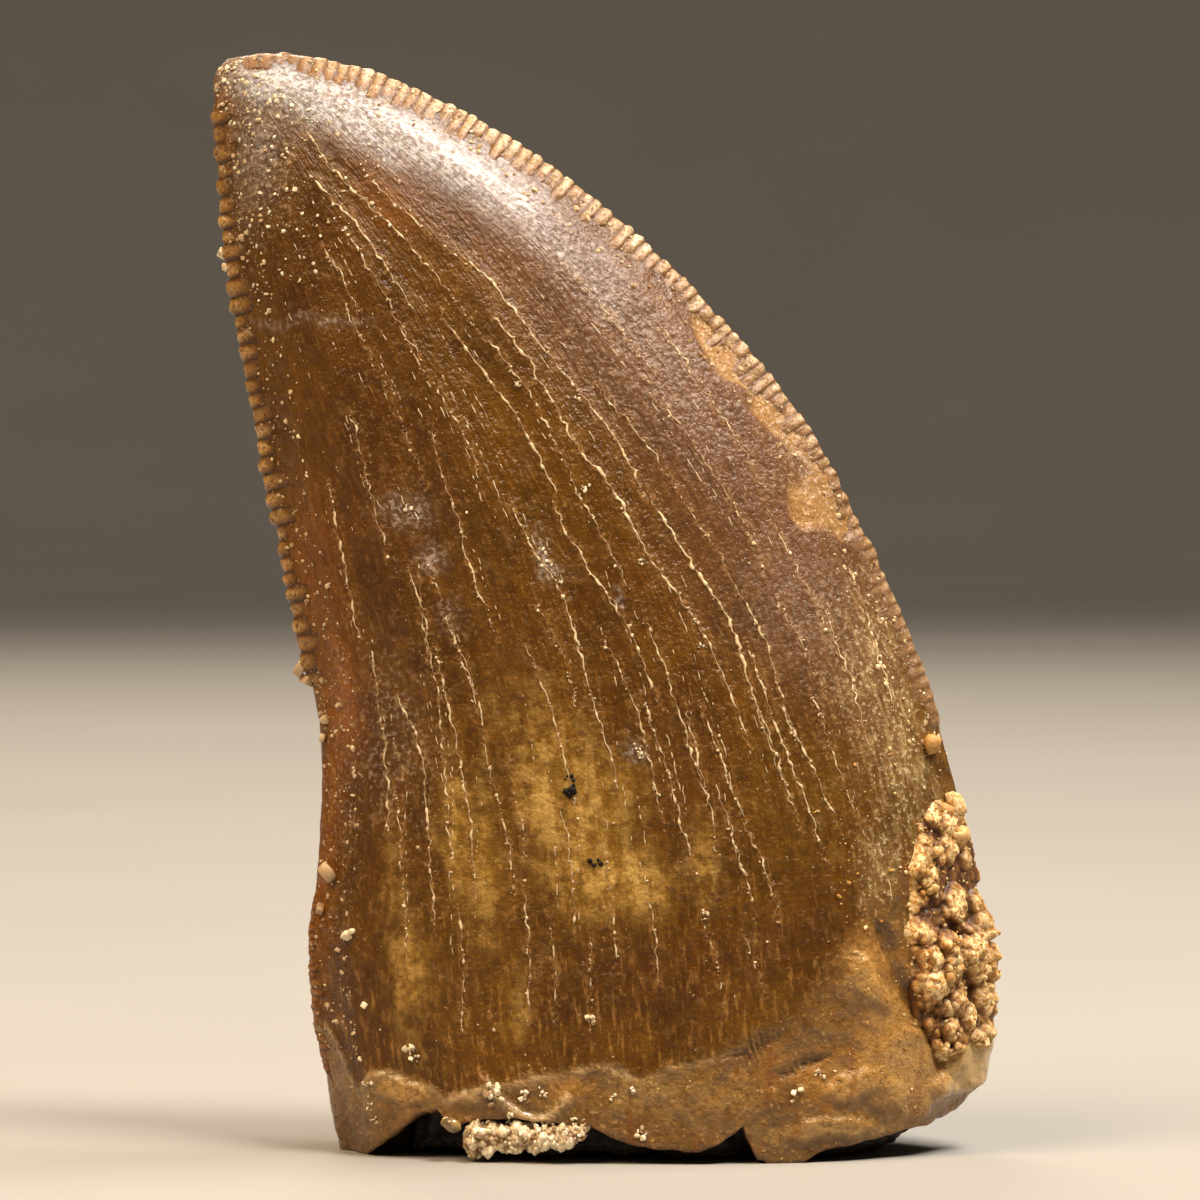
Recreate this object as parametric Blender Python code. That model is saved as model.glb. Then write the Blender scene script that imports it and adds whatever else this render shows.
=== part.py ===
"""Fossil tooth of a meat-eating dinosaur, standing on its broken base.

+Z is up, the outer face looks along -Y and the tip leans towards -X. The origin is
on the surface that the tooth stands on, under the middle of its outline. Lengths
are in millimetres in the constants and become metres in one place, new_object.

The crown is one loft. At a height u, from 0 at the base to 1 at the tip, a section
runs from the distal edge (the steep one) to the mesial edge (the bowed one), and v
goes round it: 0 on the distal edge, pi on the mesial one, front first, then back.
"""

import math

import bmesh
import bpy
import numpy as np

MM = 0.001
PART = "fossil_tooth"

# Driving dimensions of the crown
CROWN_HEIGHT = 31.72
BASE_THICKNESS = 8.6
TAPER_POWER = 0.52
TIP_LEAN = 0.9
KEEL_WIDTH = 1.3
KEEL_PINCH = 0.45
SECTION_POWER = 1.25
THICKEST_SHIFT = 0.08
FLUTE_DEPTH = 0.07
FLUTES = 5

# Edge curves from the base up to the tip, (X, Z)
DISTAL_EDGE = [
    (-7.75, 0.0), (-8.3, 2.9), (-8.6, 5.6), (-8.35, 9.0), (-8.3, 12.0), (-8.85, 14.8),
    (-9.95, 20.5), (-10.9, 25.6), (-11.25, 29.2), (-11.45, 30.9),
]
MESIAL_EDGE = [
    (10.2, 0.0), (10.85, 3.2), (10.8, 7.0), (10.05, 11.0), (8.75, 14.9), (6.15, 20.4),
    (2.55, 24.85), (-1.85, 28.65), (-6.1, 31.0), (-9.0, 31.78), (-10.2, 31.85),
]
TIP = (-11.0, CROWN_HEIGHT)

# Broken rim under the front wall, (X, Z), with its notch, feet and raised right end
FRONT_RIM = [
    (-7.9, 0.0), (-6.9, 0.0), (-6.3, 0.45), (-5.6, 1.0), (-4.9, 1.45), (-4.3, 1.3),
    (-0.6, 1.25), (0.1, 0.8), (1.5, 0.42), (2.6, 0.4), (3.6, 1.0), (4.1, 0.0),
    (5.85, 0.0), (6.5, 0.45), (7.6, 0.65), (8.9, 0.9), (10.3, 1.05), (10.9, 1.8),
]
BACK_RIM = [
    (-7.9, 0.0), (-6.2, 0.0), (-5.1, 0.7), (-4.0, 0.0), (-0.8, 0.0), (0.4, 0.5),
    (1.5, 0.0), (5.2, 0.0), (6.6, 0.4), (8.2, 0.9), (10.3, 1.4), (10.9, 1.9),
]
WALL = 1.45
WALL_SLOPE = 0.25
ROOF_INSET = 0.9
ROOF_RISE = 0.5
CAVITY_DEPTH = 3.3
RINGS = 46
FRONT_COLUMNS = 18
BACK_COLUMNS = 14

# Serrations: where a row starts and ends as a share of its edge's length, the pitch,
# how far a tooth stands out, and its half width where it meets the crown's sides
DISTAL_SAW = {"start": 0.42, "end": 0.955, "pitch": 0.49, "out": 0.38, "flank": 0.50}
MESIAL_SAW = {"start": 0.29, "end": 0.985, "pitch": 0.43, "out": 0.28, "flank": 0.46}
LOWER_SAW = {"start": 0.07, "end": 0.235, "pitch": 0.42, "out": 0.24, "flank": 0.44}
# The sections of one tooth, as (share of the pitch, share of its height)
ROUND_TOOTH = ((0.06, 0.35), (0.32, 1.0), (0.72, 0.95))
CHISEL_TOOTH = ((0.1, 0.3), (0.6, 1.0))
SAW_SPREAD = (0.85, 1.1)
SAW_WORN_END = 0.55
SAW_SHOULDER = 0.32
SAW_ROOT = 0.85

# Crust of rock grains on the lower end of the mesial edge: how far it reaches in from
# the edge on the front, as (share of its height, reach), on the back as a share, and
# how fully it stands out, as (share of its height, share of its thickness)
CRUST_LOW_U = 0.048
CRUST_HIGH_U = 0.262
CRUST_REACH = [(0.0, 2.0), (0.3, 3.1), (0.6, 2.9), (0.85, 2.1), (1.0, 0.9)]
CRUST_BACK_SHARE = 0.8
CRUST_FULLNESS = [(0.0, 0.0), (0.05, 1.0), (0.2, 0.85), (0.45, 1.0), (0.6, 0.5), (0.92, 0.4), (1.0, 0.0)]
CRUST_THICKNESS = 0.24
CRUST_LUMP = (0.40, 0.78)
CRUST_LUMPS = 85
LUMP_LEVEL = 0.7
LUMP_RISE = 0.8
CRUST_ROWS = 34
CRUST_COLUMNS = 17

# Strip of pale grains cemented under the front wall
STRIP_X = (-4.15, -0.5)
STRIP_Z = 0.66
STRIP_RADIUS = 0.42
STRIP_RINGS = 26
STRIP_SIDES = 9
STRIP_LUMP = (0.24, 0.40)
STRIP_LUMPS = 26

# Rock that fills the pulp cavity
FILL_TOP = 2.9
FILL_FACE = 0.75
FILL_LIP = 0.8
FILL_LIP_X = 7.2
FILL_LIP_WIDTH = 1.9
FILL_RISE = 0.35
FILL_LUMP = (0.6, 1.5)
FILL_LUMPS = 40
FILL_RINGS = 5

GAP = 0.2
SEED = 11


def smooth_curve(points, count=400):
    """A Catmull-Rom curve through the points, read at even steps of its length."""
    p = np.array(points, dtype=float)
    p = np.vstack([2 * p[0] - p[1], p, 2 * p[-1] - p[-2]])
    t = np.linspace(0, 1, 30, endpoint=False)[:, None]
    runs = []
    for a, b, c, d in zip(p[:-3], p[1:-2], p[2:-1], p[3:]):
        bend = 2 * a - 5 * b + 4 * c - d
        runs.append(0.5 * (2 * b + (c - a) * t + bend * t**2 + (3 * b - a - 3 * c + d) * t**3))
    line = np.vstack(runs + [p[-2][None]])
    length = np.concatenate([[0], np.cumsum(np.linalg.norm(np.diff(line, axis=0), axis=1))])
    even = np.linspace(0, length[-1], count)
    return np.column_stack([np.interp(even, length, line[:, k]) for k in range(2)]), length[-1]


DISTAL, DISTAL_LENGTH = smooth_curve(DISTAL_EDGE + [TIP])
MESIAL, MESIAL_LENGTH = smooth_curve(MESIAL_EDGE + [TIP])


def along(curve, u):
    """The (X, Z) point at the fraction u of a curve's length."""
    at = np.linspace(0, 1, len(curve))
    return np.interp(u, at, curve[:, 0]), np.interp(u, at, curve[:, 1])


def smoothstep(x):
    x = np.clip(x, 0, 1)
    return x * x * (3 - 2 * x)


def crown_surface(u, v, grow=0.0):
    """Points of the crown: a lens section between the two edges, with thin keels."""
    dx, dz = along(DISTAL, u)
    mx, mz = along(MESIAL, u)
    chord = np.maximum(np.hypot(mx - dx, mz - dz), 1e-6)
    ex, ez = (mx - dx) / chord, (mz - dz) / chord
    s = (1 - np.cos(v)) / 2
    thickness = BASE_THICKNESS * np.clip(1 - u, 0, 1) ** TAPER_POWER
    round_v = v + THICKEST_SHIFT * np.sin(2 * v)
    swell = np.abs(np.sin(round_v)) ** SECTION_POWER
    from_edge = np.minimum(s, 1 - s) * chord
    keel = 1 - KEEL_PINCH * (1 - smoothstep(from_edge / KEEL_WIDTH)) * smoothstep(chord / 4)
    flute = FLUTE_DEPTH * np.cos(2 * math.pi * FLUTES * s) * smoothstep(chord / 10 - 0.4)
    half = thickness / 2 * swell * keel + flute * swell + grow
    out = s * (chord + 2 * grow) - grow
    side = np.where(np.sin(v) >= 0, -1.0, 1.0)
    return dx + ex * out, side * half * (np.abs(np.sin(v)) > 1e-9) + TIP_LEAN * u**2, dz + ez * out


def lump_height(points, centres, sizes):
    """Height at each point of the tallest round lump over it, each a low dome."""
    away = np.linalg.norm(points[None] - centres[:, None], axis=2) / sizes[:, None]
    domes = np.sqrt(np.clip(1 - away**2, 0, 1)) * sizes[:, None]
    return domes.max(axis=0)


def rim_height(x, front):
    """Height of the broken rim under the wall at X, on the front or the back."""
    rim = np.array(FRONT_RIM if front else BACK_RIM)
    return np.interp(x, rim[:, 0], rim[:, 1])


def column_starts(v, grow=0.0):
    """For each column v, the u at which the crown's surface meets its broken rim."""
    ladder = np.linspace(0, 0.3, 200)
    starts = []
    for angle in v:
        x, _, z = crown_surface(ladder, np.full_like(ladder, angle))
        low = rim_height(x[0], math.sin(angle) >= 0) - grow
        starts.append(np.interp(low, z, ladder))
    return np.array(starts)


def section_angles():
    front = np.linspace(0, math.pi, FRONT_COLUMNS, endpoint=False)
    back = np.linspace(math.pi, 2 * math.pi, BACK_COLUMNS, endpoint=False)
    return np.concatenate([front, back])


def crown_rings(grow=0.0):
    """Rings of the outer surface, from just under the tip down to the broken rim."""
    v = section_angles()
    start = column_starts(v, grow)
    rings = []
    for t in np.linspace(0.0, 1.0, RINGS, endpoint=False)[::-1]:
        u = start + (1 - start) * (1 - (1 - t) ** 1.12)
        rings.append(np.column_stack(crown_surface(u, v, grow)))
    return rings


def inset(ring, wall, height):
    """A ring moved in by a wall's thickness, at a given height or at its own."""
    centre = (ring.max(axis=0) + ring.min(axis=0)) / 2
    half = (ring.max(axis=0) - ring.min(axis=0)) / 2
    moved = ring.copy()
    for axis in (0, 1):
        moved[:, axis] = centre[axis] + (ring[:, axis] - centre[axis]) * (1 - wall / half[axis])
    if height is not None:
        moved[:, 2] = height
    return moved


def loft(rings, first_pole, last_pole):
    """Vertices and faces of a closed loft through rings of equal count."""
    count = len(rings[0])
    verts = [first_pole] + [tuple(p) for ring in rings for p in ring] + [last_pole]
    faces = []
    for k in range(count):
        faces.append((0, 1 + k, 1 + (k + 1) % count))
    for row in range(len(rings) - 1):
        a = 1 + row * count
        b = a + count
        for k in range(count):
            n = (k + 1) % count
            faces.append((a + k, b + k, b + n, a + n))
    last = len(verts) - 1
    a = last - count
    for k in range(count):
        faces.append((last, a + (k + 1) % count, a + k))
    return verts, faces


def new_material(name, colour, roughness):
    material = bpy.data.materials.new(name)
    material.use_nodes = True
    shader = material.node_tree.nodes["Principled BSDF"]
    shader.inputs["Base Color"].default_value = (*colour, 1)
    shader.inputs["Roughness"].default_value = roughness
    shader.inputs["Metallic"].default_value = 0.0
    return material


def new_object(name, verts, faces, collection, material=None):
    """A mesh object from points in millimetres, with all its faces turned outwards."""
    mesh = bpy.data.meshes.new(name)
    mesh.from_pydata([tuple(MM * c for c in p) for p in verts], [], faces)
    shape = bmesh.new()
    shape.from_mesh(mesh)
    bmesh.ops.recalc_face_normals(shape, faces=shape.faces)
    shape.to_mesh(mesh)
    shape.free()
    made = bpy.data.objects.new(name, mesh)
    collection.objects.link(made)
    if material:
        mesh.materials.append(material)
        mesh.shade_smooth()
        mesh.set_sharp_from_angle(angle=math.radians(40))
    else:
        made.hide_render = True
        made.display_type = "WIRE"
    return made


def add_boolean(target, tool, operation):
    cut = target.modifiers.new(operation.title() + " " + tool.name, "BOOLEAN")
    cut.object = tool
    cut.operation = operation
    cut.solver = "EXACT"


def tooth_shape():
    """The crown with its broken rim and, under it, the shallow opened pulp cavity."""
    rings = crown_rings()
    rim = rings[-1]
    tip = (TIP[0], TIP_LEAN, TIP[1])
    mouth = inset(rim, WALL, None)
    wall = inset(rim, WALL + WALL_SLOPE, CAVITY_DEPTH - ROOF_RISE)
    roof = inset(rim, WALL + ROOF_INSET, CAVITY_DEPTH)
    middle = tuple(roof.mean(axis=0))
    return loft(rings + [mouth, wall, roof], tip, middle)


def edge_frame(curve, u, step=0.004):
    """A point on an edge and the direction that points out of the crown there."""
    x, z = along(curve, u)
    ax, az = along(curve, u - step)
    bx, bz = along(curve, u + step)
    turn = 1.0 if curve is MESIAL else -1.0
    norm = turn * math.hypot(bx - ax, bz - az)
    return np.array([x, TIP_LEAN * u**2, z]), np.array([(bz - az) / norm, 0, (ax - bx) / norm])


def saw_shape(curve, length, saw, profile):
    """A row of serrations along an edge: teeth that swell and thin with notches between."""
    first, last = saw["start"] * length, saw["end"] * length
    teeth = int(round((last - first) / saw["pitch"]))
    pitch = (last - first) / teeth
    random = np.random.default_rng(SEED)
    across = np.array([0.0, 1.0, 0.0])
    rings = []
    for k in range(teeth):
        middle = math.sin(math.pi * (k + 0.5) / teeth) ** 0.3
        size = random.uniform(*SAW_SPREAD) * (SAW_WORN_END + (1 - SAW_WORN_END) * middle)
        for step, share in profile:
            point, outward = edge_frame(curve, (first + (k + step) * pitch) / length)
            out = saw["out"] * share * size
            flank = saw["flank"] * (0.62 + 0.38 * share * size)
            corners = (
                (out, -0.5), (out, 0.5), (-SAW_SHOULDER, 1.0), (-SAW_ROOT, 0.0), (-SAW_SHOULDER, -1.0),
            )
            rings.append(np.array([point + outward * far + across * wide * flank for far, wide in corners]))
    return loft(rings, tuple(rings[0].mean(axis=0)), tuple(rings[-1].mean(axis=0)))


def crust_foot(a, t):
    """Points where the crust sits on the crown, and the way it stands out there.

    a runs from -1 on the front, over the mesial edge at 0, to 1 on the back, and t
    from 0 at the crust's lower end to 1 at its upper end.
    """
    u = CRUST_LOW_U + (CRUST_HIGH_U - CRUST_LOW_U) * t
    reach = np.interp(t, *np.transpose(CRUST_REACH)) * np.where(a < 0, 1, CRUST_BACK_SHARE)
    dx, dz = along(DISTAL, u)
    mx, mz = along(MESIAL, u)
    share = 1 - np.abs(a) * reach / np.hypot(mx - dx, mz - dz)
    v = np.arccos(1 - 2 * share)
    x, y, z = crown_surface(u, np.where(a < 0, v, 2 * math.pi - v))
    turn = np.radians(80) * np.sign(a) * np.abs(a) ** 0.5
    return np.stack([x, y, z], axis=-1), np.stack([np.cos(turn), np.sin(turn), 0 * turn], axis=-1)


def crust_shape():
    """A knobbly patch folded round the mesial edge, closed inside the crown."""
    random = np.random.default_rng(SEED)
    t, a = np.meshgrid(np.linspace(0, 1, CRUST_ROWS), np.linspace(-1, 1, CRUST_COLUMNS), indexing="ij")
    foot, away = crust_foot(a, t)
    bed, out = crust_foot(random.uniform(-1, 1, CRUST_LUMPS), random.uniform(0, 1, CRUST_LUMPS))
    sizes = random.uniform(*CRUST_LUMP, CRUST_LUMPS)
    lumps = lump_height((foot + away * LUMP_LEVEL).reshape(-1, 3), bed + out * LUMP_LEVEL, sizes)
    lumps = LUMP_RISE * lumps.reshape(t.shape)
    taper = np.interp(t, *np.transpose(CRUST_FULLNESS))
    taper *= 0.35 + 0.65 * smoothstep((1 - abs(a)) / 0.2)
    skin = foot + away * (GAP + (CRUST_THICKNESS + lumps) * taper)[..., None]
    root = foot.mean(axis=1, keepdims=True) - np.array([2.0, 0, 0])
    rings = list(np.concatenate([skin, root], axis=1))
    return loft(rings, tuple(rings[0].mean(axis=0)), tuple(rings[-1].mean(axis=0)))


def strip_shape():
    """A short bar of pale grains, lumpy all round, under the front wall's middle."""
    random = np.random.default_rng(SEED + 2)
    x, around = np.meshgrid(
        np.linspace(*STRIP_X, STRIP_RINGS),
        np.linspace(0, 2 * math.pi, STRIP_SIDES, endpoint=False),
        indexing="ij",
    )
    t = (x - STRIP_X[0]) / (STRIP_X[1] - STRIP_X[0])
    core = 0.6 * STRIP_RADIUS * (0.4 + 0.6 * np.sin(math.pi * np.clip(t, 0.04, 0.96)) ** 0.35)
    middle = np.stack([x, strip_line(x), STRIP_Z + 0.1 * np.sin(5 * t) * (1 - t)], axis=-1)
    away = np.stack([0 * x, np.cos(around), np.sin(around)], axis=-1)
    skin = middle + away * core[..., None]
    centres = skin.reshape(-1, 3)[random.choice(x.size, STRIP_LUMPS, replace=False)]
    lumps = lump_height(skin.reshape(-1, 3), centres, random.uniform(*STRIP_LUMP, STRIP_LUMPS))
    rings = list(skin + away * (0.7 * lumps.reshape(x.shape))[..., None])
    return loft(rings, tuple(rings[0].mean(axis=0)), tuple(rings[-1].mean(axis=0)))


def strip_line(x):
    """Y of the strip's middle, just inside the front wall's outer face at X."""
    v = np.linspace(0.1, math.pi - 0.1, 80)
    sx, sy, _ = crown_surface(np.full_like(v, 0.02), v)
    return np.interp(x, sx, sy) + 0.55


def fill_shape():
    """Rock packed in the pulp cavity: a lens-shaped plug with a rough lower face."""
    rim = crown_rings()[-1]
    mouth = inset(rim, WALL + GAP, FILL_FACE)
    wall = inset(rim, WALL + WALL_SLOPE + GAP, FILL_TOP - ROOF_RISE)
    top = inset(rim, WALL + ROOF_INSET + 2 * GAP, FILL_TOP)
    centre = (mouth.max(axis=0) + mouth.min(axis=0)) / 2
    face = [centre + (mouth - centre) * (1 - k / FILL_RINGS) for k in range(FILL_RINGS)]
    random = np.random.default_rng(SEED + 5)
    centres = mouth[random.integers(0, len(mouth), FILL_LUMPS)]
    centres = centre + (centres - centre) * random.uniform(0.1, 1, (FILL_LUMPS, 1))
    sizes = random.uniform(*FILL_LUMP, FILL_LUMPS)
    for ring in face:
        lip = FILL_LIP * np.exp(-(((ring[:, 0] - FILL_LIP_X) / FILL_LIP_WIDTH) ** 2))
        lumps = FILL_RISE * lump_height(ring, centres, sizes)
        ring[:, 2] = np.maximum(0.0, ring[:, 2] - lumps - lip)
    return loft([top, wall] + face, (centre[0], centre[1], FILL_TOP), tuple(face[-1].mean(axis=0)))


def make_tooth(parts, cutters):
    """The one solid that grew as one piece: crown, root stub and all its serrations."""
    amber = new_material("amber_brown_enamel", (0.29, 0.13, 0.035), 0.3)
    tooth = new_object("tooth", *tooth_shape(), parts, amber)
    saws = {
        "distal_saw": (DISTAL, DISTAL_LENGTH, DISTAL_SAW, ROUND_TOOTH),
        "mesial_saw": (MESIAL, MESIAL_LENGTH, MESIAL_SAW, CHISEL_TOOTH),
        "lower_saw": (DISTAL, DISTAL_LENGTH, LOWER_SAW, CHISEL_TOOTH),
    }
    for name, values in saws.items():
        add_boolean(tooth, new_object(name, *saw_shape(*values), cutters), "UNION")


def make_crust(parts, cutters):
    sandy = new_material("sandy_rock_crust", (0.42, 0.24, 0.09), 0.75)
    crust = new_object("matrix_crust", *crust_shape(), parts, sandy)
    rings = crown_rings(GAP)
    tip = (TIP[0], TIP_LEAN, TIP[1] + GAP)
    under = (rings[-1].max(axis=0) + rings[-1].min(axis=0)) / 2
    under[2] = -GAP
    clearance = new_object("crown_clearance", *loft(rings, tip, tuple(under)), cutters)
    add_boolean(crust, clearance, "DIFFERENCE")


def make_strip(parts):
    cream = new_material("cream_cemented_grains", (0.62, 0.45, 0.27), 0.7)
    new_object("grain_strip", *strip_shape(), parts, cream)


def make_fill(parts):
    dark = new_material("dark_rock_infill", (0.09, 0.055, 0.03), 0.85)
    new_object("pulp_fill", *fill_shape(), parts, dark)


def main():
    for item in list(bpy.data.objects):
        bpy.data.objects.remove(item, do_unlink=True)
    parts = bpy.data.collections.new(PART)
    cutters = bpy.data.collections.new("cutters")
    bpy.context.scene.collection.children.link(parts)
    bpy.context.scene.collection.children.link(cutters)
    make_tooth(parts, cutters)
    make_crust(parts, cutters)
    make_strip(parts)
    make_fill(parts)


main()
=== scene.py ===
# %% [markdown]
# # A fossil tooth, surface by surface
# The object is one tooth of a meat-eating dinosaur that stands on its broken base. The
# solids in the frame give its size and carry it. This lesson dresses them: each solid is
# replaced by a fine surface that numpy works out in the same place, and each surface gets
# a finish built from shader nodes. Lengths are in millimetres, as a collector would give
# them, and one function turns them into Blender's metres.

# %% Load the frame and keep its box
import math

import bpy
import numpy as np
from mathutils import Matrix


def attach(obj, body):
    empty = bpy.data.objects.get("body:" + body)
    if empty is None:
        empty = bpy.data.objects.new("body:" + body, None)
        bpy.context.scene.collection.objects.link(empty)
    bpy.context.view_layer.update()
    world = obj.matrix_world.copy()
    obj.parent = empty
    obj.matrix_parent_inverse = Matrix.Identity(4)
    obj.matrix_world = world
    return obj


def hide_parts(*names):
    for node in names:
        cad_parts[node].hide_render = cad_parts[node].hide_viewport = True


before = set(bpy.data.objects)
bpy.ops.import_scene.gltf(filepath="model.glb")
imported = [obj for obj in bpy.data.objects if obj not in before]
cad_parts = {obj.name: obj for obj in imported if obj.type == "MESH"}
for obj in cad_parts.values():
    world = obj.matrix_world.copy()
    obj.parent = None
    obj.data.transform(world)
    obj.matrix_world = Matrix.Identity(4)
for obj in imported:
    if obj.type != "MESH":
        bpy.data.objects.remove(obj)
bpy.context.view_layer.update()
MM = 0.001
print("solids in the frame:", list(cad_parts))

# %% [markdown]
# ## Reading places from the photograph
# The photograph is a square of 1200 pixels and shows the tooth straight from its outer
# side. A place that is read there as a pixel becomes millimetres on the plane through
# both cutting edges, with the tooth's own X to the right and Z up.

# %% Photograph scale
PHOTO_WIDTH = 1200
TOOTH_HEIGHT = 32.0
PIXEL = TOOTH_HEIGHT / 1100
MIDDLE_PIXEL_X = 606
GROUND_PIXEL_Y = 1150


def from_photo(pixels):
    """Pixels (x, y) as millimetres (X, Z): the distance from the middle and the ground."""
    p = np.atleast_2d(np.array(pixels, dtype=float))
    return np.column_stack([(p[:, 0] - MIDDLE_PIXEL_X) * PIXEL, (GROUND_PIXEL_Y - p[:, 1]) * PIXEL])


# %% [markdown]
# ## Small tools for whole arrays
# A rough surface needs a noise that can be asked for at any point. Value noise is the
# plainest: random heights sit on the corners of a cubic lattice and are blended smoothly
# between them. Adding finer layers gives the broken look of rock and worn enamel.

# %% Noise and smooth steps
SEED = 7
LATTICE_SIZE = 8192
LATTICE = np.random.default_rng(SEED).uniform(-1, 1, LATTICE_SIZE)


def smoothstep(x):
    """0 below 0, 1 above 1, and 3x^2 - 2x^3 between."""
    x = np.clip(x, 0, 1)
    return x * x * (3 - 2 * x)


def bell(x, width):
    """exp(-(x/width)^2): 1 at 0, about a third at the width, and nearly 0 at twice that."""
    return np.exp(-((x / width) ** 2))


def rough(points, size, seed=0, layers=3):
    """Value noise from -1 to 1: lattice of `size`, and each layer half as big and high."""
    total, weight, height = 0.0, 0.0, 1.0
    for layer in range(layers):
        at = np.asarray(points, dtype=float) / size * 2**layer + 31.7 * (seed + layer)
        cell = np.floor(at).astype(np.int64)
        part = smoothstep(at - cell)
        for corner in np.ndindex(2, 2, 2):
            c = cell + corner
            key = c[..., 0] * 7919 + c[..., 1] * 104729 + c[..., 2] * 1299709 + seed * 31
            near = np.where(np.array(corner) == 1, part, 1 - part).prod(axis=-1)
            total = total + height * near * LATTICE[key % LATTICE_SIZE]
        weight += height
        height *= 0.5
    return total / weight


def signed_power(x, power):
    """A power that keeps the sign, which turns a circle into a rounded square."""
    return np.sign(x) * np.abs(x) ** power


def unit(vectors):
    """Each vector divided by its own length."""
    return vectors / np.maximum(np.linalg.norm(vectors, axis=-1, keepdims=True), 1e-12)


print("noise spread over a test line:", rough(np.linspace(0, 9, 300)[:, None] * [1, 0.3, 0.7], 1.0).std())

# %% [markdown]
# A grid of points becomes a mesh by naming its triangles. Most pieces here are closed
# lofts: a pole, then rings of equal count, then a pole. One function numbers those
# triangles for any number of copies at once, and one puts arrays into a mesh.

# %% Grids to meshes


def loft_triangles(rows, columns, copies=1):
    """Triangles of a closed loft: pole, rows of rings, pole, with the next copy after it."""
    k = np.arange(columns)
    n = (k + 1) % columns
    ring = 1 + np.arange(rows - 1)[:, None] * columns
    a, b, c, d = ring + k, ring + columns + k, ring + columns + n, ring + n
    sides = np.concatenate([np.stack([a, b, c], -1), np.stack([a, c, d], -1)]).reshape(-1, 3)
    first = np.stack([0 * k, 1 + k, 1 + n], -1)
    last = 1 + (rows - 1) * columns
    end = np.stack([0 * k + last + columns, last + n, last + k], -1)
    one = np.concatenate([first, sides, end])
    step = rows * columns + 2
    return (one[None] + (np.arange(copies) * step)[:, None, None]).reshape(-1, 3)


def with_poles(rings):
    """Points of closed lofts: rings of shape (..., rows, columns, 3) with both poles added."""
    first = rings[..., 0, :, :].mean(axis=-2, keepdims=True)
    last = rings[..., -1, :, :].mean(axis=-2, keepdims=True)
    flat = rings.reshape(*rings.shape[:-3], -1, 3)
    return np.concatenate([first, flat, last], axis=-2)


def new_piece(name, points, triangles, values=None):
    """A smooth mesh object from points in millimetres, with named values at its points."""
    mesh = bpy.data.meshes.new(name)
    mesh.vertices.add(len(points))
    mesh.vertices.foreach_set("co", (np.asarray(points) * MM).astype(np.float32).ravel())
    mesh.loops.add(triangles.size)
    mesh.loops.foreach_set("vertex_index", triangles.astype(np.int32).ravel())
    mesh.polygons.add(len(triangles))
    mesh.polygons.foreach_set("loop_start", np.arange(0, triangles.size, 3, dtype=np.int32))
    mesh.update(calc_edges=True)
    mesh.shade_smooth()
    for label, value in (values or {}).items():
        kind, field = ("FLOAT", "value") if np.ndim(value) == 1 else ("FLOAT_VECTOR", "vector")
        data = mesh.attributes.new(label, kind, "POINT").data
        data.foreach_set(field, np.asarray(value, dtype=np.float32).ravel())
    piece = bpy.data.objects.new(name, mesh)
    bpy.context.scene.collection.objects.link(piece)
    print(f"{name}: {len(triangles)} triangles")
    return piece


# %% [markdown]
# ## The crown's own coordinates
# A tooth grows as a stack of sections, each a little smaller than the last, so every
# point of the crown has two natural numbers: u, from 0 at the base to 1 at the tip, and
# s, the share of the way from the distal edge (the steep one) to the mesial edge (the
# bowed one). Cracks and colour bands follow them, which is why the lesson uses them
# everywhere. The values are those of the solid, so the surface lies on it.

# %% Edge curves
DISTAL_EDGE = [
    (-7.75, 0.0), (-8.3, 2.9), (-8.6, 5.6), (-8.35, 9.0), (-8.3, 12.0), (-8.85, 14.8),
    (-9.95, 20.5), (-10.9, 25.6), (-11.25, 29.2), (-11.44, 30.8), (-11.36, 31.38),
]
MESIAL_EDGE = [
    (10.2, 0.0), (10.85, 3.2), (10.8, 7.0), (10.05, 11.0), (8.75, 14.9), (6.15, 20.4),
    (2.55, 24.85), (-1.85, 28.65), (-6.1, 31.0), (-9.0, 31.78), (-10.2, 31.85),
]
TIP = (-11.06, 31.76)


def smooth_curve(points, count=400):
    """A Catmull-Rom curve through the points, read at even steps of its length."""
    p = np.array(points, dtype=float)
    p = np.vstack([2 * p[0] - p[1], p, 2 * p[-1] - p[-2]])
    a, b, c, d = (q[:, None] for q in (p[:-3], p[1:-2], p[2:-1], p[3:]))
    t = np.linspace(0, 1, 30, endpoint=False)[None, :, None]
    bend = (2 * a - 5 * b + 4 * c - d) * t**2 + (3 * b - a - 3 * c + d) * t**3
    line = np.vstack([(0.5 * (2 * b + (c - a) * t + bend)).reshape(-1, p.shape[1]), p[-2][None]])
    length = np.concatenate([[0], np.cumsum(np.linalg.norm(np.diff(line, axis=0), axis=1))])
    even = np.linspace(0, length[-1], count)
    return np.column_stack([np.interp(even, length, column) for column in line.T]), length[-1]


def along(curve, u):
    """The (X, Z) point at the fraction u of a curve's length."""
    at = np.linspace(0, 1, len(curve))
    return np.interp(u, at, curve[:, 0]), np.interp(u, at, curve[:, 1])


def edges_at(u):
    """X and Z of the distal edge at u, X and Z of the mesial one, and the chord between."""
    dx, dz = along(DISTAL, u)
    mx, mz = along(MESIAL, u)
    return dx, dz, mx, mz, np.hypot(mx - dx, mz - dz)


DISTAL, DISTAL_LENGTH = smooth_curve(DISTAL_EDGE + [TIP])
MESIAL, MESIAL_LENGTH = smooth_curve(MESIAL_EDGE + [TIP])
print(f"edges: distal {DISTAL_LENGTH:.1f} mm, mesial {MESIAL_LENGTH:.1f} mm")

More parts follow.
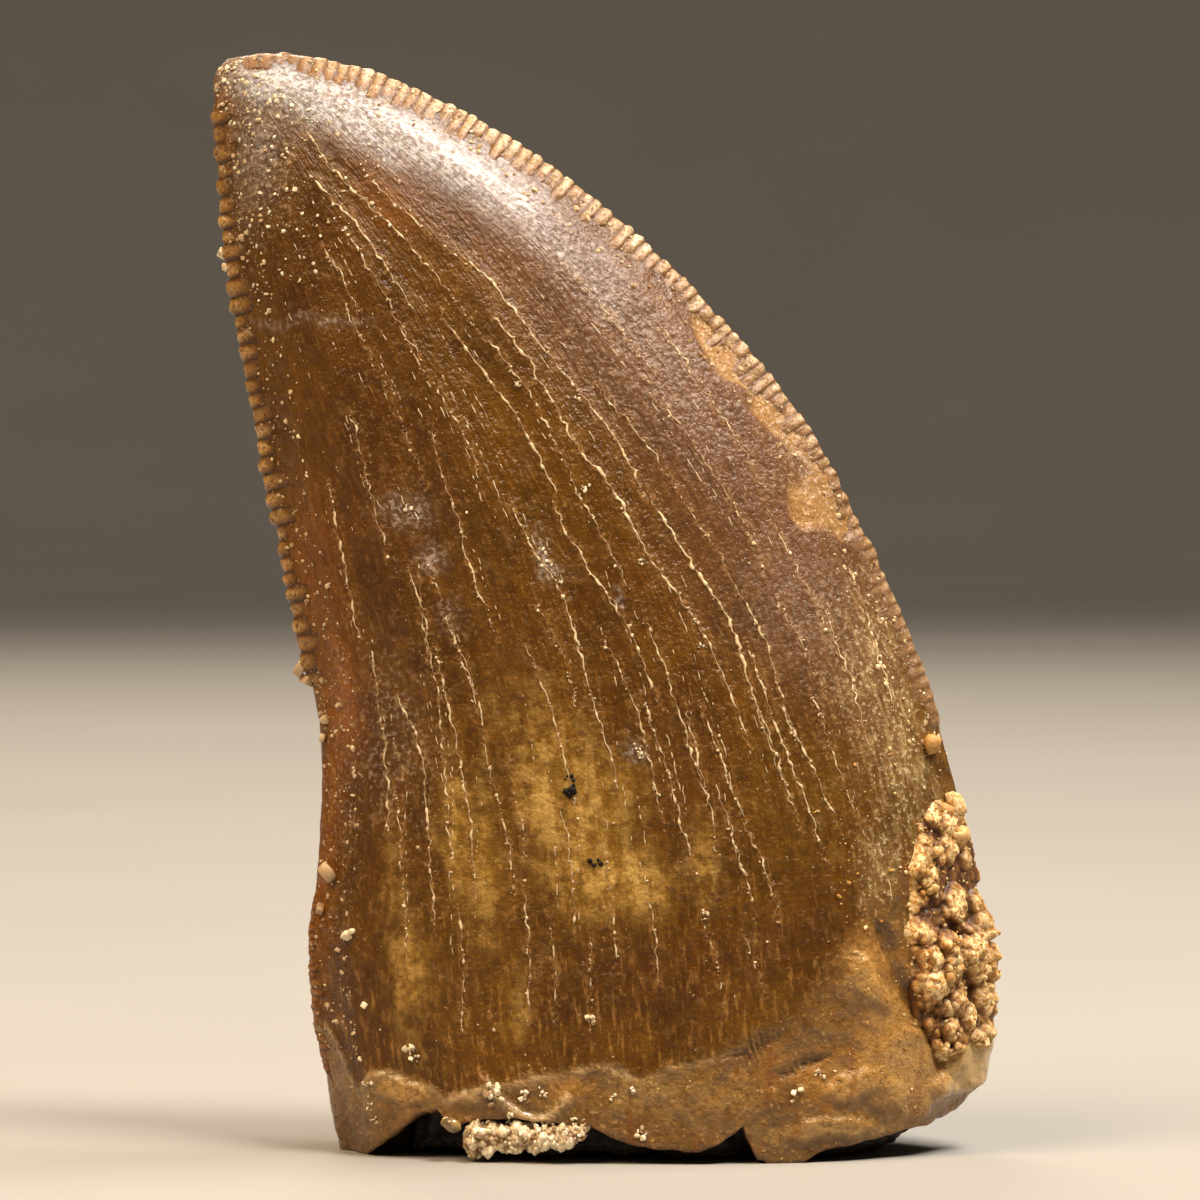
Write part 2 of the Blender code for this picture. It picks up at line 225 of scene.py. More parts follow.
# %% Crown surface
BASE_THICKNESS = 8.6
TAPER_POWER = 0.52
TIP_LEAN = 0.9
KEEL_WIDTH = 1.3
KEEL_PINCH = 0.45
SECTION_POWER = 1.25
THICKEST_SHIFT = 0.08
FLUTE_DEPTH = 0.07
FLUTES = 5
BLOCK = 4000


def crown_surface(u, v):
    """A lens section between the edges: half thickness = T(u)/2 * sin(v)^p, thinned to a
    keel near both edges. v is 0 on the distal edge and pi on the mesial one, and
    s = (1 - cos v)/2 is the share of the way across."""
    dx, dz, mx, mz, chord = edges_at(u)
    chord = np.maximum(chord, 1e-6)
    s = (1 - np.cos(v)) / 2
    thickness = BASE_THICKNESS * np.clip(1 - u, 0, 1) ** TAPER_POWER
    swell = np.abs(np.sin(v + THICKEST_SHIFT * np.sin(2 * v))) ** SECTION_POWER
    from_edge = np.minimum(s, 1 - s) * chord
    keel = 1 - KEEL_PINCH * (1 - smoothstep(from_edge / KEEL_WIDTH)) * smoothstep(chord / 4)
    flute = FLUTE_DEPTH * np.cos(2 * math.pi * FLUTES * s) * smoothstep(chord / 10 - 0.4)
    half = (thickness / 2 * keel + flute) * swell
    side = np.where(np.sin(v) >= 0, -1.0, 1.0)
    y = side * half * (np.abs(np.sin(v)) > 1e-9) + TIP_LEAN * u**2
    return np.stack([dx + s * (mx - dx), y, dz + s * (mz - dz)], axis=-1)


def crown_address(flat):
    """The (u, s) of points (X, Z): u where the section's line passes through the point."""
    flat = np.atleast_2d(flat)
    ladder = np.linspace(0, 0.999, 1200)
    dx, dz, mx, mz, _ = edges_at(ladder)
    row, high, low = (np.empty(len(flat)) for _ in range(3))
    for start in range(0, len(flat), BLOCK):
        part = flat[start:start + BLOCK]
        side = (mx - dx) * (part[:, 1:] - dz) - (mz - dz) * (part[:, :1] - dx)
        rung = np.clip((side > 0).sum(axis=1), 1, len(ladder) - 1)
        pick = np.arange(len(part))
        row[start:start + BLOCK] = rung
        high[start:start + BLOCK] = side[pick, rung - 1]
        low[start:start + BLOCK] = side[pick, rung]
    row = row.astype(int)
    past = np.clip(high / np.maximum(high - low, 1e-9), 0, 1)
    u = ladder[row - 1] + (ladder[1] - ladder[0]) * past
    dx, dz, mx, mz, chord = edges_at(u)
    s = ((flat[:, 0] - dx) * (mx - dx) + (flat[:, 1] - dz) * (mz - dz)) / chord**2
    return u, np.clip(s, 0.0, 1.0)


def angle_of(s, back=False):
    """The section angle v at the share s across, on the front or on the back."""
    v = np.arccos(1 - 2 * np.clip(s, 0, 1))
    return 2 * math.pi - v if back else v


print("middle of the crown is at u, s =", crown_address([(0.0, 14.0)]))

# %% [markdown]
# ## Where the enamel ends
# Enamel covers the crown, and below it the root's dentine shows as a waxy tan skin with
# a raised lip. The border wanders, so it is a curve of height over X, given as a list of
# points. The broken rim below it has a notch, two worn feet and a raised right end.

# %% Borders of the base
ENAMEL_BORDER = [
    (330, 1020), (340, 1040), (359, 1086), (371, 1068), (389, 1062), (428, 1074), (447, 1087),
    (500, 1072), (550, 1060), (606, 1048), (639, 1065), (683, 1048), (720, 1040), (800, 1000),
    (850, 935), (880, 880), (915, 835), (950, 800), (990, 790),
]
FRONT_RIM = [
    (-7.9, 0.0), (-6.9, 0.0), (-6.4, 0.4), (-5.9, 0.8), (-5.4, 1.22), (-5.0, 1.43), (-4.65, 1.47),
    (-4.55, 1.2), (-4.3, 1.0), (-4.0, 1.15), (-3.0, 1.3), (-1.6, 1.2), (-0.5, 1.15), (0.1, 0.78),
    (0.6, 0.6), (1.5, 0.42), (2.6, 0.4), (3.2, 0.62), (3.6, 0.95), (3.82, 1.08), (3.95, 0.7),
    (4.3, 0.1), (4.6, 0.0), (5.6, 0.0), (6.1, 0.3), (7.3, 0.6), (7.9, 0.7), (8.9, 0.9),
    (9.6, 1.12), (10.0, 1.4), (10.4, 1.85), (10.8, 2.4),
]
BACK_RIM = [
    (-7.9, 0.0), (-6.2, 0.0), (-5.1, 0.7), (-4.0, 0.0), (-0.8, 0.0), (0.4, 0.5),
    (1.5, 0.0), (5.2, 0.0), (6.6, 0.4), (8.2, 1.0), (9.6, 1.3), (10.3, 1.8), (10.8, 2.4),
]
BACK_BORDER = [
    (-9.0, 3.2), (-6.0, 2.4), (-2.0, 3.1), (2.0, 2.5), (6.0, 4.2), (9.0, 8.5), (11.0, 10.0),
]


def height_at(x, border):
    """Height of a border curve over X, straight between its points."""
    b = np.array(border, dtype=float)
    return np.interp(x, b[:, 0], b[:, 1])


ENAMEL_EDGE = from_photo(ENAMEL_BORDER)
print("enamel ends", round(float(height_at(0, ENAMEL_EDGE)), 2), "mm up in the middle")

# %% [markdown]
# ## The grid of the crown
# One closed surface stands for the tooth: rows from the tip down to the broken rim,
# then on over the rim, up the wall of the pulp cavity and across its roof. Columns go
# round the section. The rows close up a little near the tip and the columns near both
# edges, where the surface turns fastest. The front gets more columns than the back.
# Where a pattern follows the growth, the crown counts as a sheet of flow length by width.

# %% Crown grid
FRONT_COLUMNS = 160
BACK_COLUMNS = 84
CROWN_ROWS = 385
ROW_EASE = 1.12
LOWEST_U = 0.3
FLOW_LENGTH = 36.0
FLOW_WIDTH = 18.0


def column_angles(count, start):
    """Angles over half a turn, halfway between even in v and even in s."""
    share = np.arange(count) / count
    return start + 0.5 * math.pi * share + 0.5 * np.arccos(1 - 2 * share)


V = np.concatenate([column_angles(FRONT_COLUMNS, 0.0), column_angles(BACK_COLUMNS, math.pi)])
IS_FRONT = V < math.pi
ladder = np.linspace(0, LOWEST_U, 300)[:, None]
climb = crown_surface(ladder, V[None])
rim = np.where(IS_FRONT, height_at(climb[0, :, 0], FRONT_RIM), height_at(climb[0, :, 0], BACK_RIM))
grit = np.column_stack([climb[0, :, 0], climb[0, :, 1], 0 * V])
rim = np.where(rim > 0.02, rim + 0.1 * rough(grit, 0.5, 3), 0.0).clip(0)
START_U = np.array([np.interp(low, climb[:, k, 2], ladder[:, 0]) for k, low in enumerate(rim)])
DOWN = np.linspace(1, 0, CROWN_ROWS, endpoint=True)[1:]


def row_u(t):
    """Height of a row: t is 0 on the rim and 1 at the tip, and rows close up near the tip."""
    return START_U + (1 - START_U) * (1 - (1 - t) ** ROW_EASE)


U_GRID = row_u(DOWN[:, None])
U_GRID[0] = np.minimum(U_GRID[0], 0.9985)
V_GRID = np.broadcast_to(V, U_GRID.shape)
BASE_GRID = crown_surface(U_GRID, V_GRID)
print("crown grid:", BASE_GRID.shape, "rows of columns")

# %% [markdown]
# ## Cracks that follow the growth
# Pale mineral fills fine cracks that fan out from near the tip and run down the crown.
# Each is read from the photograph as a few points and drawn as a smooth curve. The
# surface swells a little along them, and later each one gets a thread of mineral.

# %% Crack lines on the front
CRACKS = [
    [(300, 112), (323, 158), (373, 209), (406, 242), (448, 292), (480, 335)],
    [(371, 179), (390, 198), (427, 232), (470, 270)],
    [(312, 179), (337, 204), (364, 234), (392, 275), (420, 318)],
    [(348, 234), (373, 274), (396, 315), (425, 365)],
    [(325, 248), (343, 274), (360, 312)],
    [(462, 258), (499, 292), (539, 343), (576, 389), (618, 443), (646, 498)],
    [(651, 500), (691, 565), (726, 615), (747, 678), (772, 747), (790, 800)],
    [(491, 315), (528, 359), (579, 447), (614, 493), (642, 550)],
    [(480, 328), (532, 397), (562, 456), (583, 500), (615, 557), (642, 613)],
    [(440, 310), (480, 366), (514, 412), (543, 464), (563, 505)],
    [(596, 385), (648, 447), (683, 500), (716, 552)],
    [(640, 375), (671, 414), (708, 468), (735, 510), (765, 575)],
    [(511, 500), (534, 548), (563, 594), (592, 693), (611, 754), (618, 800)],
    [(552, 500), (584, 559), (632, 634), (660, 705)],
    [(642, 613), (663, 663), (687, 737), (706, 800)],
    [(615, 500), (647, 550), (707, 642), (733, 701), (752, 748)],
    [(716, 552), (764, 643), (783, 712), (797, 745)],
    [(600, 628), (636, 707), (649, 760), (662, 815)],
    [(538, 603), (561, 647), (580, 712)],
    [(525, 634), (546, 691), (568, 762), (578, 812)],
    [(640, 690), (670, 774), (683, 829), (690, 868)],
    [(682, 699), (706, 790), (716, 850)],
    [(699, 701), (722, 762), (766, 875), (776, 915)],
    [(712, 775), (741, 864), (752, 900)],
    [(750, 695), (775, 760), (797, 825)],
    [(777, 697), (810, 764), (838, 832)],
    [(745, 640), (781, 741), (808, 810), (822, 855)],
    [(808, 690), (836, 765), (858, 820)],
    [(430, 560), (454, 633), (479, 692), (487, 745), (512, 850), (516, 905)],
    [(436, 640), (460, 747), (473, 820), (476, 880)],
    [(404, 560), (422, 600), (443, 715), (452, 835), (455, 880)],
    [(400, 690), (425, 759), (433, 868), (436, 925)],
    [(346, 306), (381, 373), (404, 422), (430, 490)],
    [(405, 340), (431, 377), (463, 430), (482, 470)],
    [(352, 413), (364, 450), (375, 500), (392, 560)],
    [(430, 425), (456, 510), (475, 574), (500, 640)],
    [(330, 480), (346, 560), (362, 640)],
    [(372, 640), (386, 740), (392, 830)],
    [(560, 800), (572, 860), (576, 930)],
    [(600, 830), (612, 900), (615, 960)],
    [(640, 850), (652, 915), (658, 975)],
    [(526, 880), (531, 950), (530, 1010)],
    [(462, 900), (466, 960), (464, 1025)],
    [(845, 560), (872, 640), (890, 705)],
    [(818, 600), (848, 680), (868, 750)],
    [(768, 513), (786, 549), (804, 584), (818, 613), (828, 641)],
    [(775, 595), (793, 631), (814, 670), (826, 700)],
    [(446, 611), (459, 640), (473, 679), (479, 718)],
    [(512, 750), (516, 782), (523, 821), (526, 860)],
    [(400, 790), (404, 850), (408, 920), (407, 980)],
    [(550, 905), (556, 960), (554, 1010)],
    [(590, 925), (592, 985), (590, 1020)],
    [(700, 900), (716, 960), (722, 1000)],
    [(740, 925), (754, 965), (760, 985)],
    [(421, 560), (424, 610), (432, 660)],
    [(655, 320), (700, 385), (742, 450), (765, 500)],
    [(560, 262), (612, 320), (655, 375)],
]
CRACK_STEP = 0.045
CRACK_WOBBLE = 0.0672


def crack_curve(points, number):
    """A crack as (X, Z) points: a smooth curve that strays sideways by noise."""
    line, length = smooth_curve(points)
    count = max(8, int(length / CRACK_STEP))
    line, _ = smooth_curve(points, count)
    along_it = np.linspace(0, length, count)
    track = np.column_stack([along_it, 0 * along_it + 9.3 * number, 0 * along_it])
    stray = 0.7 * rough(track, 0.9, 21) + 0.9 * rough(track, 0.4, 22, 2)
    stray = CRACK_WOBBLE * (stray + 0.8 * rough(track, 0.17, 23, 1))
    way = unit(np.gradient(line, axis=0))
    return line + np.column_stack([-way[:, 1], way[:, 0]]) * stray[:, None]


FRONT_CRACKS = [crack_curve(from_photo(pixels), number) for number, pixels in enumerate(CRACKS)]
print(len(FRONT_CRACKS), "cracks,", sum(len(line) for line in FRONT_CRACKS), "points")

# %% [markdown]
# The other side isn't in the photograph. The same growth made it, so its cracks are
# drawn from the rule alone: each keeps nearly one share s of the section as it runs
# down, with random lengths, and they fan out from the tip like those on the front.

# %% Crack lines on the back
BACK_CRACK_COUNT = 34


def ruled_cracks(count, longest, seed):
    """Cracks as (u, s): s stays near one share, drifting slowly as u falls."""
    random = np.random.default_rng(seed)
    lines = []
    for number in range(count):
        share = random.uniform(0.10, 0.88)
        top = random.uniform(0.25, 0.9)
        bottom = max(0.10, top - random.uniform(0.25, 1.0) * longest)
        u = np.linspace(top, bottom, int((top - bottom) * FLOW_LENGTH / CRACK_STEP))
        track = np.column_stack([u * FLOW_LENGTH, 0 * u + 7.1 * number, 0 * u])
        drift = 0.010 * rough(track, 3, 5) + 0.0025 * rough(track, 0.5, 6)
        drift = drift + 0.0014 * rough(track, 0.16, 7, 1)
        lines.append((u, np.clip(share + drift, 0.05, 0.95)))
    return lines


def place_flat(u, s):
    """(X, Z) of a crown address."""
    return crown_surface(u, angle_of(s))[..., [0, 2]]


BACK_RULES = ruled_cracks(BACK_CRACK_COUNT, 0.42, SEED + 40)
BACK_CRACKS = [place_flat(u, s) for u, s in BACK_RULES]


def nearest(points, lines, reach=1.2):
    """Distance from each (X, Z) point to the closest crack point, capped at reach."""
    targets = np.concatenate(lines).astype(np.float32)
    found = np.empty(len(points), dtype=np.float32)
    for start in range(0, len(points), BLOCK):
        part = points[start:start + BLOCK].astype(np.float32)
        gap = (part[:, None, 0] - targets[None, :, 0]) ** 2 + (part[:, None, 1] - targets[None, :, 1]) ** 2
        found[start:start + BLOCK] = np.sqrt(gap.min(axis=1))
    return np.minimum(found, reach)


FLAT = BASE_GRID[..., [0, 2]]
CRACK_GAP = np.empty(FLAT.shape[:2], dtype=np.float32)
CRACK_GAP[:, IS_FRONT] = nearest(FLAT[:, IS_FRONT].reshape(-1, 2), FRONT_CRACKS).reshape(len(FLAT), -1)
CRACK_GAP[:, ~IS_FRONT] = nearest(FLAT[:, ~IS_FRONT].reshape(-1, 2), BACK_CRACKS).reshape(len(FLAT), -1)
print("share of the crown within 0.2 mm of a crack:", round(float((CRACK_GAP < 0.2).mean()), 3))

# %% [markdown]
# ## Patches of colour and wear
# The enamel isn't one brown. Where it is thin over pale dentine it glows golden; it is
# purple-brown and satin towards the bowed edge, orange along the steep edge, and tan
# where it has chipped. Each is a patch: x and y of its middle, half its width and height
# in photo pixels, its tilt in degrees and its strength. Its soft border is broken up by a
# noise that is numbered by its place in the list. The shader mixes colours by them later.

# %% Patch masks
PATCHES = {
    "golden": [
        (556, 790, 38, 58, 0, 1.0), (612, 868, 54, 32, -10, 1.0), (702, 850, 15, 38, 5, 0.6),
        (600, 790, 40, 40, 0, 0.6), (458, 820, 15, 62, 3, 0.85), (486, 850, 16, 66, 3, 0.7),
        (412, 970, 16, 52, 0, 0.7), (520, 710, 40, 50, 12, 0.25), (520, 1000, 14, 30, 0, 0.4),
        (655, 880, 26, 20, 0, 0.35), (395, 880, 12, 60, 0, 0.4), (580, 868, 34, 30, 0, 0.8),
    ],
    "olive": [
        (500, 900, 50, 90, 0, 0.7), (440, 950, 40, 80, 0, 0.6), (900, 740, 28, 70, -8, 0.6),
        (530, 560, 70, 110, 20, 0.25), (820, 800, 30, 30, 0, 0.6), (640, 930, 30, 40, 0, 0.5),
        (480, 420, 70, 100, 30, 0.3), (782, 790, 46, 80, 10, 0.7), (780, 990, 40, 20, 0, 0.6),
    ],
    "purple": [
        (600, 290, 170, 80, -48, 0.75), (720, 430, 140, 75, -58, 0.8), (810, 590, 75, 110, 18, 0.7),
        (440, 175, 110, 45, -25, 0.6), (880, 690, 35, 80, 10, 0.5), (700, 560, 50, 90, 25, 0.25),
    ],
    "dark": [
        (805, 908, 50, 28, 25, 0.75), (745, 950, 80, 32, 15, 0.35), (640, 965, 70, 40, 0, 0.6),
        (390, 480, 90, 190, 10, 0.5), (330, 300, 60, 110, 5, 0.4), (700, 1005, 90, 25, 10, 0.25),
        (575, 1010, 60, 40, 0, 0.2), (345, 985, 26, 60, 0, 0.7), (680, 760, 48, 110, 10, 0.55),
        (600, 600, 90, 50, 20, 0.45), (590, 270, 50, 30, -48, 0.35),
        (722, 425, 30, 50, -30, 0.35), (374, 780, 26, 150, 0, 0.5),
    ],
    "sage": [
        (878, 690, 42, 85, 12, 0.5), (905, 775, 30, 55, 5, 0.55), (850, 620, 26, 46, 20, 0.2),
        (884, 872, 24, 44, 8, 0.95), (890, 950, 14, 40, 0, 0.4),
    ],
    # Frost is partly a pale frosting of the pitted tip and partly painted sheen along the bowed side near
    # the tip.
    "frost_and_sheen": [
        (275, 82, 52, 20, -8, 1.0), (345, 112, 70, 24, -20, 1.0), (425, 150, 70, 26, -32, 0.8),
        (510, 200, 60, 28, -42, 0.55), (590, 270, 50, 24, -48, 0.2), (255, 150, 30, 62, 0, 0.25),
    ],
    "ash": [
        (408, 508, 26, 17, 0, 0.9), (543, 552, 8, 24, 12, 1.0), (432, 556, 16, 16, 0, 0.9),
        (310, 322, 60, 6, 0, 0.6), (636, 746, 10, 13, 0, 1.0), (455, 615, 14, 18, 0, 0.5),
        (555, 570, 14, 9, 30, 0.8), (620, 596, 8, 4, -50, 0.9), (800, 455, 60, 12, -60, 0.5),
        (395, 735, 34, 80, 4, 0.22), (640, 350, 150, 60, -50, 0.35), (800, 600, 60, 80, 20, 0.25),
    ],
    "chip": [
        (735, 372, 44, 12, -50, 1.0), (780, 420, 44, 15, -55, 1.0), (826, 478, 34, 20, -60, 1.0),
        (806, 500, 20, 26, 10, 1.0), (846, 520, 18, 24, 20, 1.0), (713, 335, 34, 12, -45, 0.8),
    ],
    "pitted": [
        (600, 330, 120, 60, -48, 0.4), (260, 150, 50, 80, 0, 0.9), (870, 640, 40, 90, 12, 0.7),
        (560, 250, 60, 40, -40, 0.4), (810, 470, 40, 40, 0, 0.8), (900, 720, 30, 60, 0, 0.7),
        (400, 125, 120, 26, -25, 1.0), (520, 190, 90, 24, -40, 0.9), (395, 740, 34, 90, 5, 0.6),
        (345, 760, 20, 160, 0, 0.6), (885, 890, 24, 90, 5, 0.8),
    ],
    "orange": [
        (322, 600, 30, 90, -8, 0.5), (320, 880, 18, 60, 0, 0.6), (314, 980, 14, 60, 0, 0.5),
        (300, 540, 22, 60, -6, 0.4), (346, 705, 22, 66, 0, 0.9), (225, 110, 16, 50, 0, 0.7),
        (336, 800, 14, 60, 0, 0.6), (390, 208, 40, 18, -35, 0.35),
    ],
    "flake": [(972, 1052, 26, 26, 0, 1.0), (950, 1075, 22, 16, 20, 0.9)],
    "tan": [
        (905, 1040, 55, 66, 0, 0.9), (840, 1075, 46, 30, 0, 0.5), (960, 1065, 40, 30, 0, 0.8),
        (868, 955, 26, 50, 28, 0.75), (780, 1060, 60, 24, 10, 0.3), (560, 1075, 26, 16, 0, 0.4),
        (415, 1092, 60, 18, 0, 0.35),
    ],
    "plate": [
        (846, 1074, 22, 17, -6, 1.0), (903, 1062, 33, 50, 12, 1.0), (970, 1060, 27, 36, 12, 0.9),
        (820, 1118, 60, 14, 4, 0.8), (398, 1080, 44, 17, -14, 0.8), (470, 1078, 26, 26, 0, 0.7),
        (690, 1090, 60, 26, 6, 0.35), (640, 1075, 30, 20, 0, 0.4), (862, 968, 18, 46, 30, 0.8),
    ],
    "crease": [
        (908, 992, 8, 44, 35, 1.0), (800, 1052, 40, 6, 12, 0.7), (935, 1040, 5, 50, 8, 0.8),
        (750, 1035, 60, 6, 20, 0.6), (880, 940, 8, 36, 20, 0.8), (868, 1098, 10, 30, 40, 0.5),
    ],
}


def patch_mask(flat, patches, raggedness=0.28, grain=0.9, seed=0):
    """1 - product of (1 - strength * exp(-r^2.6)), with r = 1 on each turned ellipse."""
    where = np.column_stack([flat, 0 * flat[:, 0]])
    stray = raggedness * np.column_stack([rough(where, grain, seed + 1), rough(where, grain, seed + 2)])
    left = np.ones(len(flat))
    for x, y, wide, tall, tilt, strength in patches:
        centre = from_photo([(x, y)])[0]
        turn = math.radians(tilt)
        d = flat - centre + stray * 1.2
        across = (d[:, 0] * math.cos(turn) + d[:, 1] * math.sin(turn)) / (wide * PIXEL)
        upward = (d[:, 1] * math.cos(turn) - d[:, 0] * math.sin(turn)) / (tall * PIXEL)
        left *= 1 - strength * np.exp(-((across**2 + upward**2) ** 1.3))
    return 1 - left


POINTS = FLAT.reshape(-1, 2)
MASKS = {
    name: patch_mask(POINTS, patches, seed=11 * k).reshape(FLAT.shape[:2])
    for k, (name, patches) in enumerate(PATCHES.items())
}
print("golden share of the crown:", round(float(MASKS["golden"].mean()), 3))

# %% [markdown]
# The waxy skin of the root isn't a patch but everything below a border. Noise moves the
# border up and down a little, and a narrow bell along it gives the pale raised lip. A
# second, curved ridge hangs from the border like a garland above the pale strip.

# %% Root zone mask
here = BASE_GRID.reshape(-1, 3)
front_flag = np.broadcast_to(IS_FRONT, U_GRID.shape)
border = np.where(front_flag, height_at(FLAT[..., 0], ENAMEL_EDGE), height_at(FLAT[..., 0], BACK_BORDER))
border = border + (0.14 * rough(here, 0.8, 51) + 0.10 * rough(here, 0.28, 52)).reshape(border.shape)
above = FLAT[..., 1] - border
fade = 0.22 + 1.3 * smoothstep((FLAT[..., 0] - 2.5) / 4.0) * front_flag
ROOT = smoothstep(0.5 - above / fade)
LIP = bell(above + 0.10, 0.14) * (1 - smoothstep((FLAT[..., 0] - 2.0) / 3.0) * front_flag)
LIP = LIP * smoothstep(0.55 + 0.9 * rough(here, 0.7, 53)).reshape(border.shape)
ARC_RIDGE = [(486, 1068), (496, 1082), (508, 1094), (524, 1103), (540, 1108), (556, 1100), (568, 1086)]
arc, _ = smooth_curve(from_photo(ARC_RIDGE), 80)
ARC_GAP = nearest(POINTS, [arc]).reshape(border.shape)
ARC = bell(ARC_GAP, 0.12) * front_flag
print("root zone share:", round(float(ROOT.mean()), 3))

# %% [markdown]
# ## Relief
# The heights that the eye reads come from the mesh, not only from bump: long low ridges
# that follow the growth, a swelling beside each crack, pits, the chipped hollows by the
# bowed edge, and the thick waxy skin of the root with its plates, creases and lip.

# %% Swelling of the edges
SAW_SPANS = {"distal": (0.42, 0.965), "lower": (0.065, 0.24), "mesial": (0.285, 0.994)}


def inside_span(u, span, fade=0.02):
    """1 inside a span of u, 0 outside it, eased over a short way at both ends."""
    return smoothstep((u - span[0]) / fade) * smoothstep((span[1] - u) / fade)


dx, dz, mx, mz, CHORD = edges_at(U_GRID)
SHARE = (1 - np.cos(V_GRID)) / 2
from_distal, from_mesial = SHARE * CHORD, (1 - SHARE) * CHORD
distal_swell = inside_span(U_GRID, SAW_SPANS["distal"]) + 0.5 * inside_span(U_GRID, SAW_SPANS["lower"])
distal_swell = distal_swell * bell(from_distal, 0.4)
mesial_swell = 0.9 * bell(from_mesial, 0.5) * inside_span(U_GRID, SAW_SPANS["mesial"])
EDGE = distal_swell + mesial_swell
across = np.stack([mx - dx, 0 * dx, mz - dz], axis=-1) / np.maximum(CHORD, 1e-6)[..., None]
EDGE_PUSH = 0.10 * across * (mesial_swell - distal_swell)[..., None]
print("edges swell over", round(float((EDGE > 0.3).mean()), 3), "of the crown")

# %% Relief of the crown in millimetres
flow = np.stack([SHARE * FLOW_WIDTH, U_GRID * FLOW_LENGTH, 4.0 * ~front_flag], axis=-1)
solid = BASE_GRID.reshape(-1, 3)


def field(points, size, seed, layers=2):
    """Noise over the crown's grid, in the grid's own shape."""
    return rough(np.asarray(points).reshape(-1, 3), size, seed, layers).reshape(U_GRID.shape)


ridge_noise = field(flow * [1 / 0.55, 1 / 7.0, 1], 1.0, 61)
wrinkle_noise = field(flow * [1 / 0.20, 1 / 0.9, 1], 1.0, 68)
MASKS["chip"] = smoothstep((MASKS["chip"] + 0.25 * field(solid, 0.8, 74, 3) - 0.18) / 0.55)
pits = smoothstep((field(solid, 0.30, 62) - 0.42) / 0.2) * (0.15 + 0.85 * MASKS["pitted"])
away_from_tip = smoothstep((0.97 - U_GRID) / 0.2)
relief = 0.030 * field(solid, 3.0, 63)
relief += 0.010 * ridge_noise * away_from_tip * (1 - ROOT)
relief += 0.009 * wrinkle_noise * (1 - ROOT)
relief += 0.020 * bell(CRACK_GAP, 0.14) * (1 - ROOT)
relief -= 0.010 * bell(CRACK_GAP - 0.26, 0.10) * (1 - ROOT)
relief -= 0.040 * pits
relief -= MASKS["chip"] * (0.08 - (0.04 + 0.16 * MASKS["pitted"]) * field(solid, 0.30, 64, 3))
relief += ROOT * (0.035 + 0.12 * field(solid, 1.1, 65, 4) + 0.06 * field(solid, 0.35, 66, 3))
relief += 0.016 * ROOT * field(solid, 0.14, 71, 1)
relief += 0.24 * smoothstep((MASKS["flake"] - 0.25) / 0.3)
plate_step = 0.13 * smoothstep((MASKS["plate"] - 0.40) / 0.16)
crease_step = 0.15 * smoothstep((MASKS["crease"] - 0.3) / 0.4)
relief += ROOT * (plate_step - crease_step)
relief += 0.04 * LIP + 0.15 * ARC
relief += 0.030 * field(solid, 0.34, 69, 3) * bell(from_distal, 1.1) * (1 - EDGE)
relief += 0.035 * field(solid, 0.28, 70, 3) * bell(from_mesial, 1.6) * (1 - ROOT)
relief += (0.006 + 0.012 * EDGE) * field(solid, 0.22, 67)


def grid_normals(grid):
    """Unit normals from the cross product of the steps down the rows and round them."""
    down = np.gradient(grid, axis=0)
    round_it = (np.roll(grid, -1, axis=1) - np.roll(grid, 1, axis=1)) / 2
    return unit(np.cross(round_it, down))


NORMAL = grid_normals(BASE_GRID)
middle = BASE_GRID.mean(axis=(0, 1))
if (NORMAL * (BASE_GRID - middle)).sum() < 0:
    NORMAL = -NORMAL
SKIN = BASE_GRID + NORMAL * relief[..., None] + EDGE_PUSH
SKIN[..., 2] = np.maximum(SKIN[..., 2], 0.0)
print("relief from", round(float(relief.min()), 3), "to", round(float(relief.max()), 3), "mm")

# %% [markdown]
# Other things sit on this skin: mineral threads, sand, crust. They need its point and
# its normal at any address, so one function reads the finished grid between its nodes.

# %% Reading the skin at any address
V_CLOSED = np.append(V, 2 * math.pi)
SKIN_NORMAL = grid_normals(SKIN)
SKIN_NORMAL *= np.sign((SKIN_NORMAL * NORMAL).sum(axis=-1, keepdims=True))


def on_skin(u, v):
    """Point and normal of the finished crown at (u, v), blended from the four nodes round it."""
    u, v = np.broadcast_arrays(np.asarray(u, dtype=float), np.mod(v, 2 * math.pi))
    column = np.interp(v, V_CLOSED, np.arange(len(V_CLOSED)))
    start = np.interp(v, V_CLOSED, np.append(START_U, START_U[0]))
    t = 1 - np.clip(1 - (u - start) / (1 - start), 0, 1) ** (1 / ROW_EASE)
    row = np.interp(-t, -DOWN, np.arange(len(DOWN)))
    r, c = np.floor(row).astype(int), np.floor(column).astype(int)
    r = np.minimum(r, len(DOWN) - 2)
    fr, fc = (row - r)[..., None], (column - c)[..., None]
    c, n = c % len(V), (c + 1) % len(V)

    def blend(grid):
        top = grid[r, c] * (1 - fc) + grid[r, n] * fc
        low = grid[r + 1, c] * (1 - fc) + grid[r + 1, n] * fc
        return top * (1 - fr) + low * fr

    return blend(SKIN), unit(blend(SKIN_NORMAL))


def on_front(pixels):
    """Point, normal and u of the crown's front under pixels of the photograph."""
    u, s = crown_address(from_photo(pixels))
    point, normal = on_skin(u, angle_of(s))
    return point, normal, u


print("skin under the photograph's middle:", on_front([(606, 600)])[0].round(2))

# %% [markdown]
# ## The broken base
# Below the last row the surface turns under: first a worn round-over, then the rough
# broken wall, then up into the pulp cavity and over its roof. Each ring is the rim moved
# inwards, with its own height, and noise breaks up all that doesn't carry the tooth.

# %% Rings under the rim
WALL = 1.45
WALL_SLOPE = 0.25
ROOF_INSET = 0.9
ROOF_RISE = 0.5
CAVITY_DEPTH = 3.3
WALL_RINGS = 12


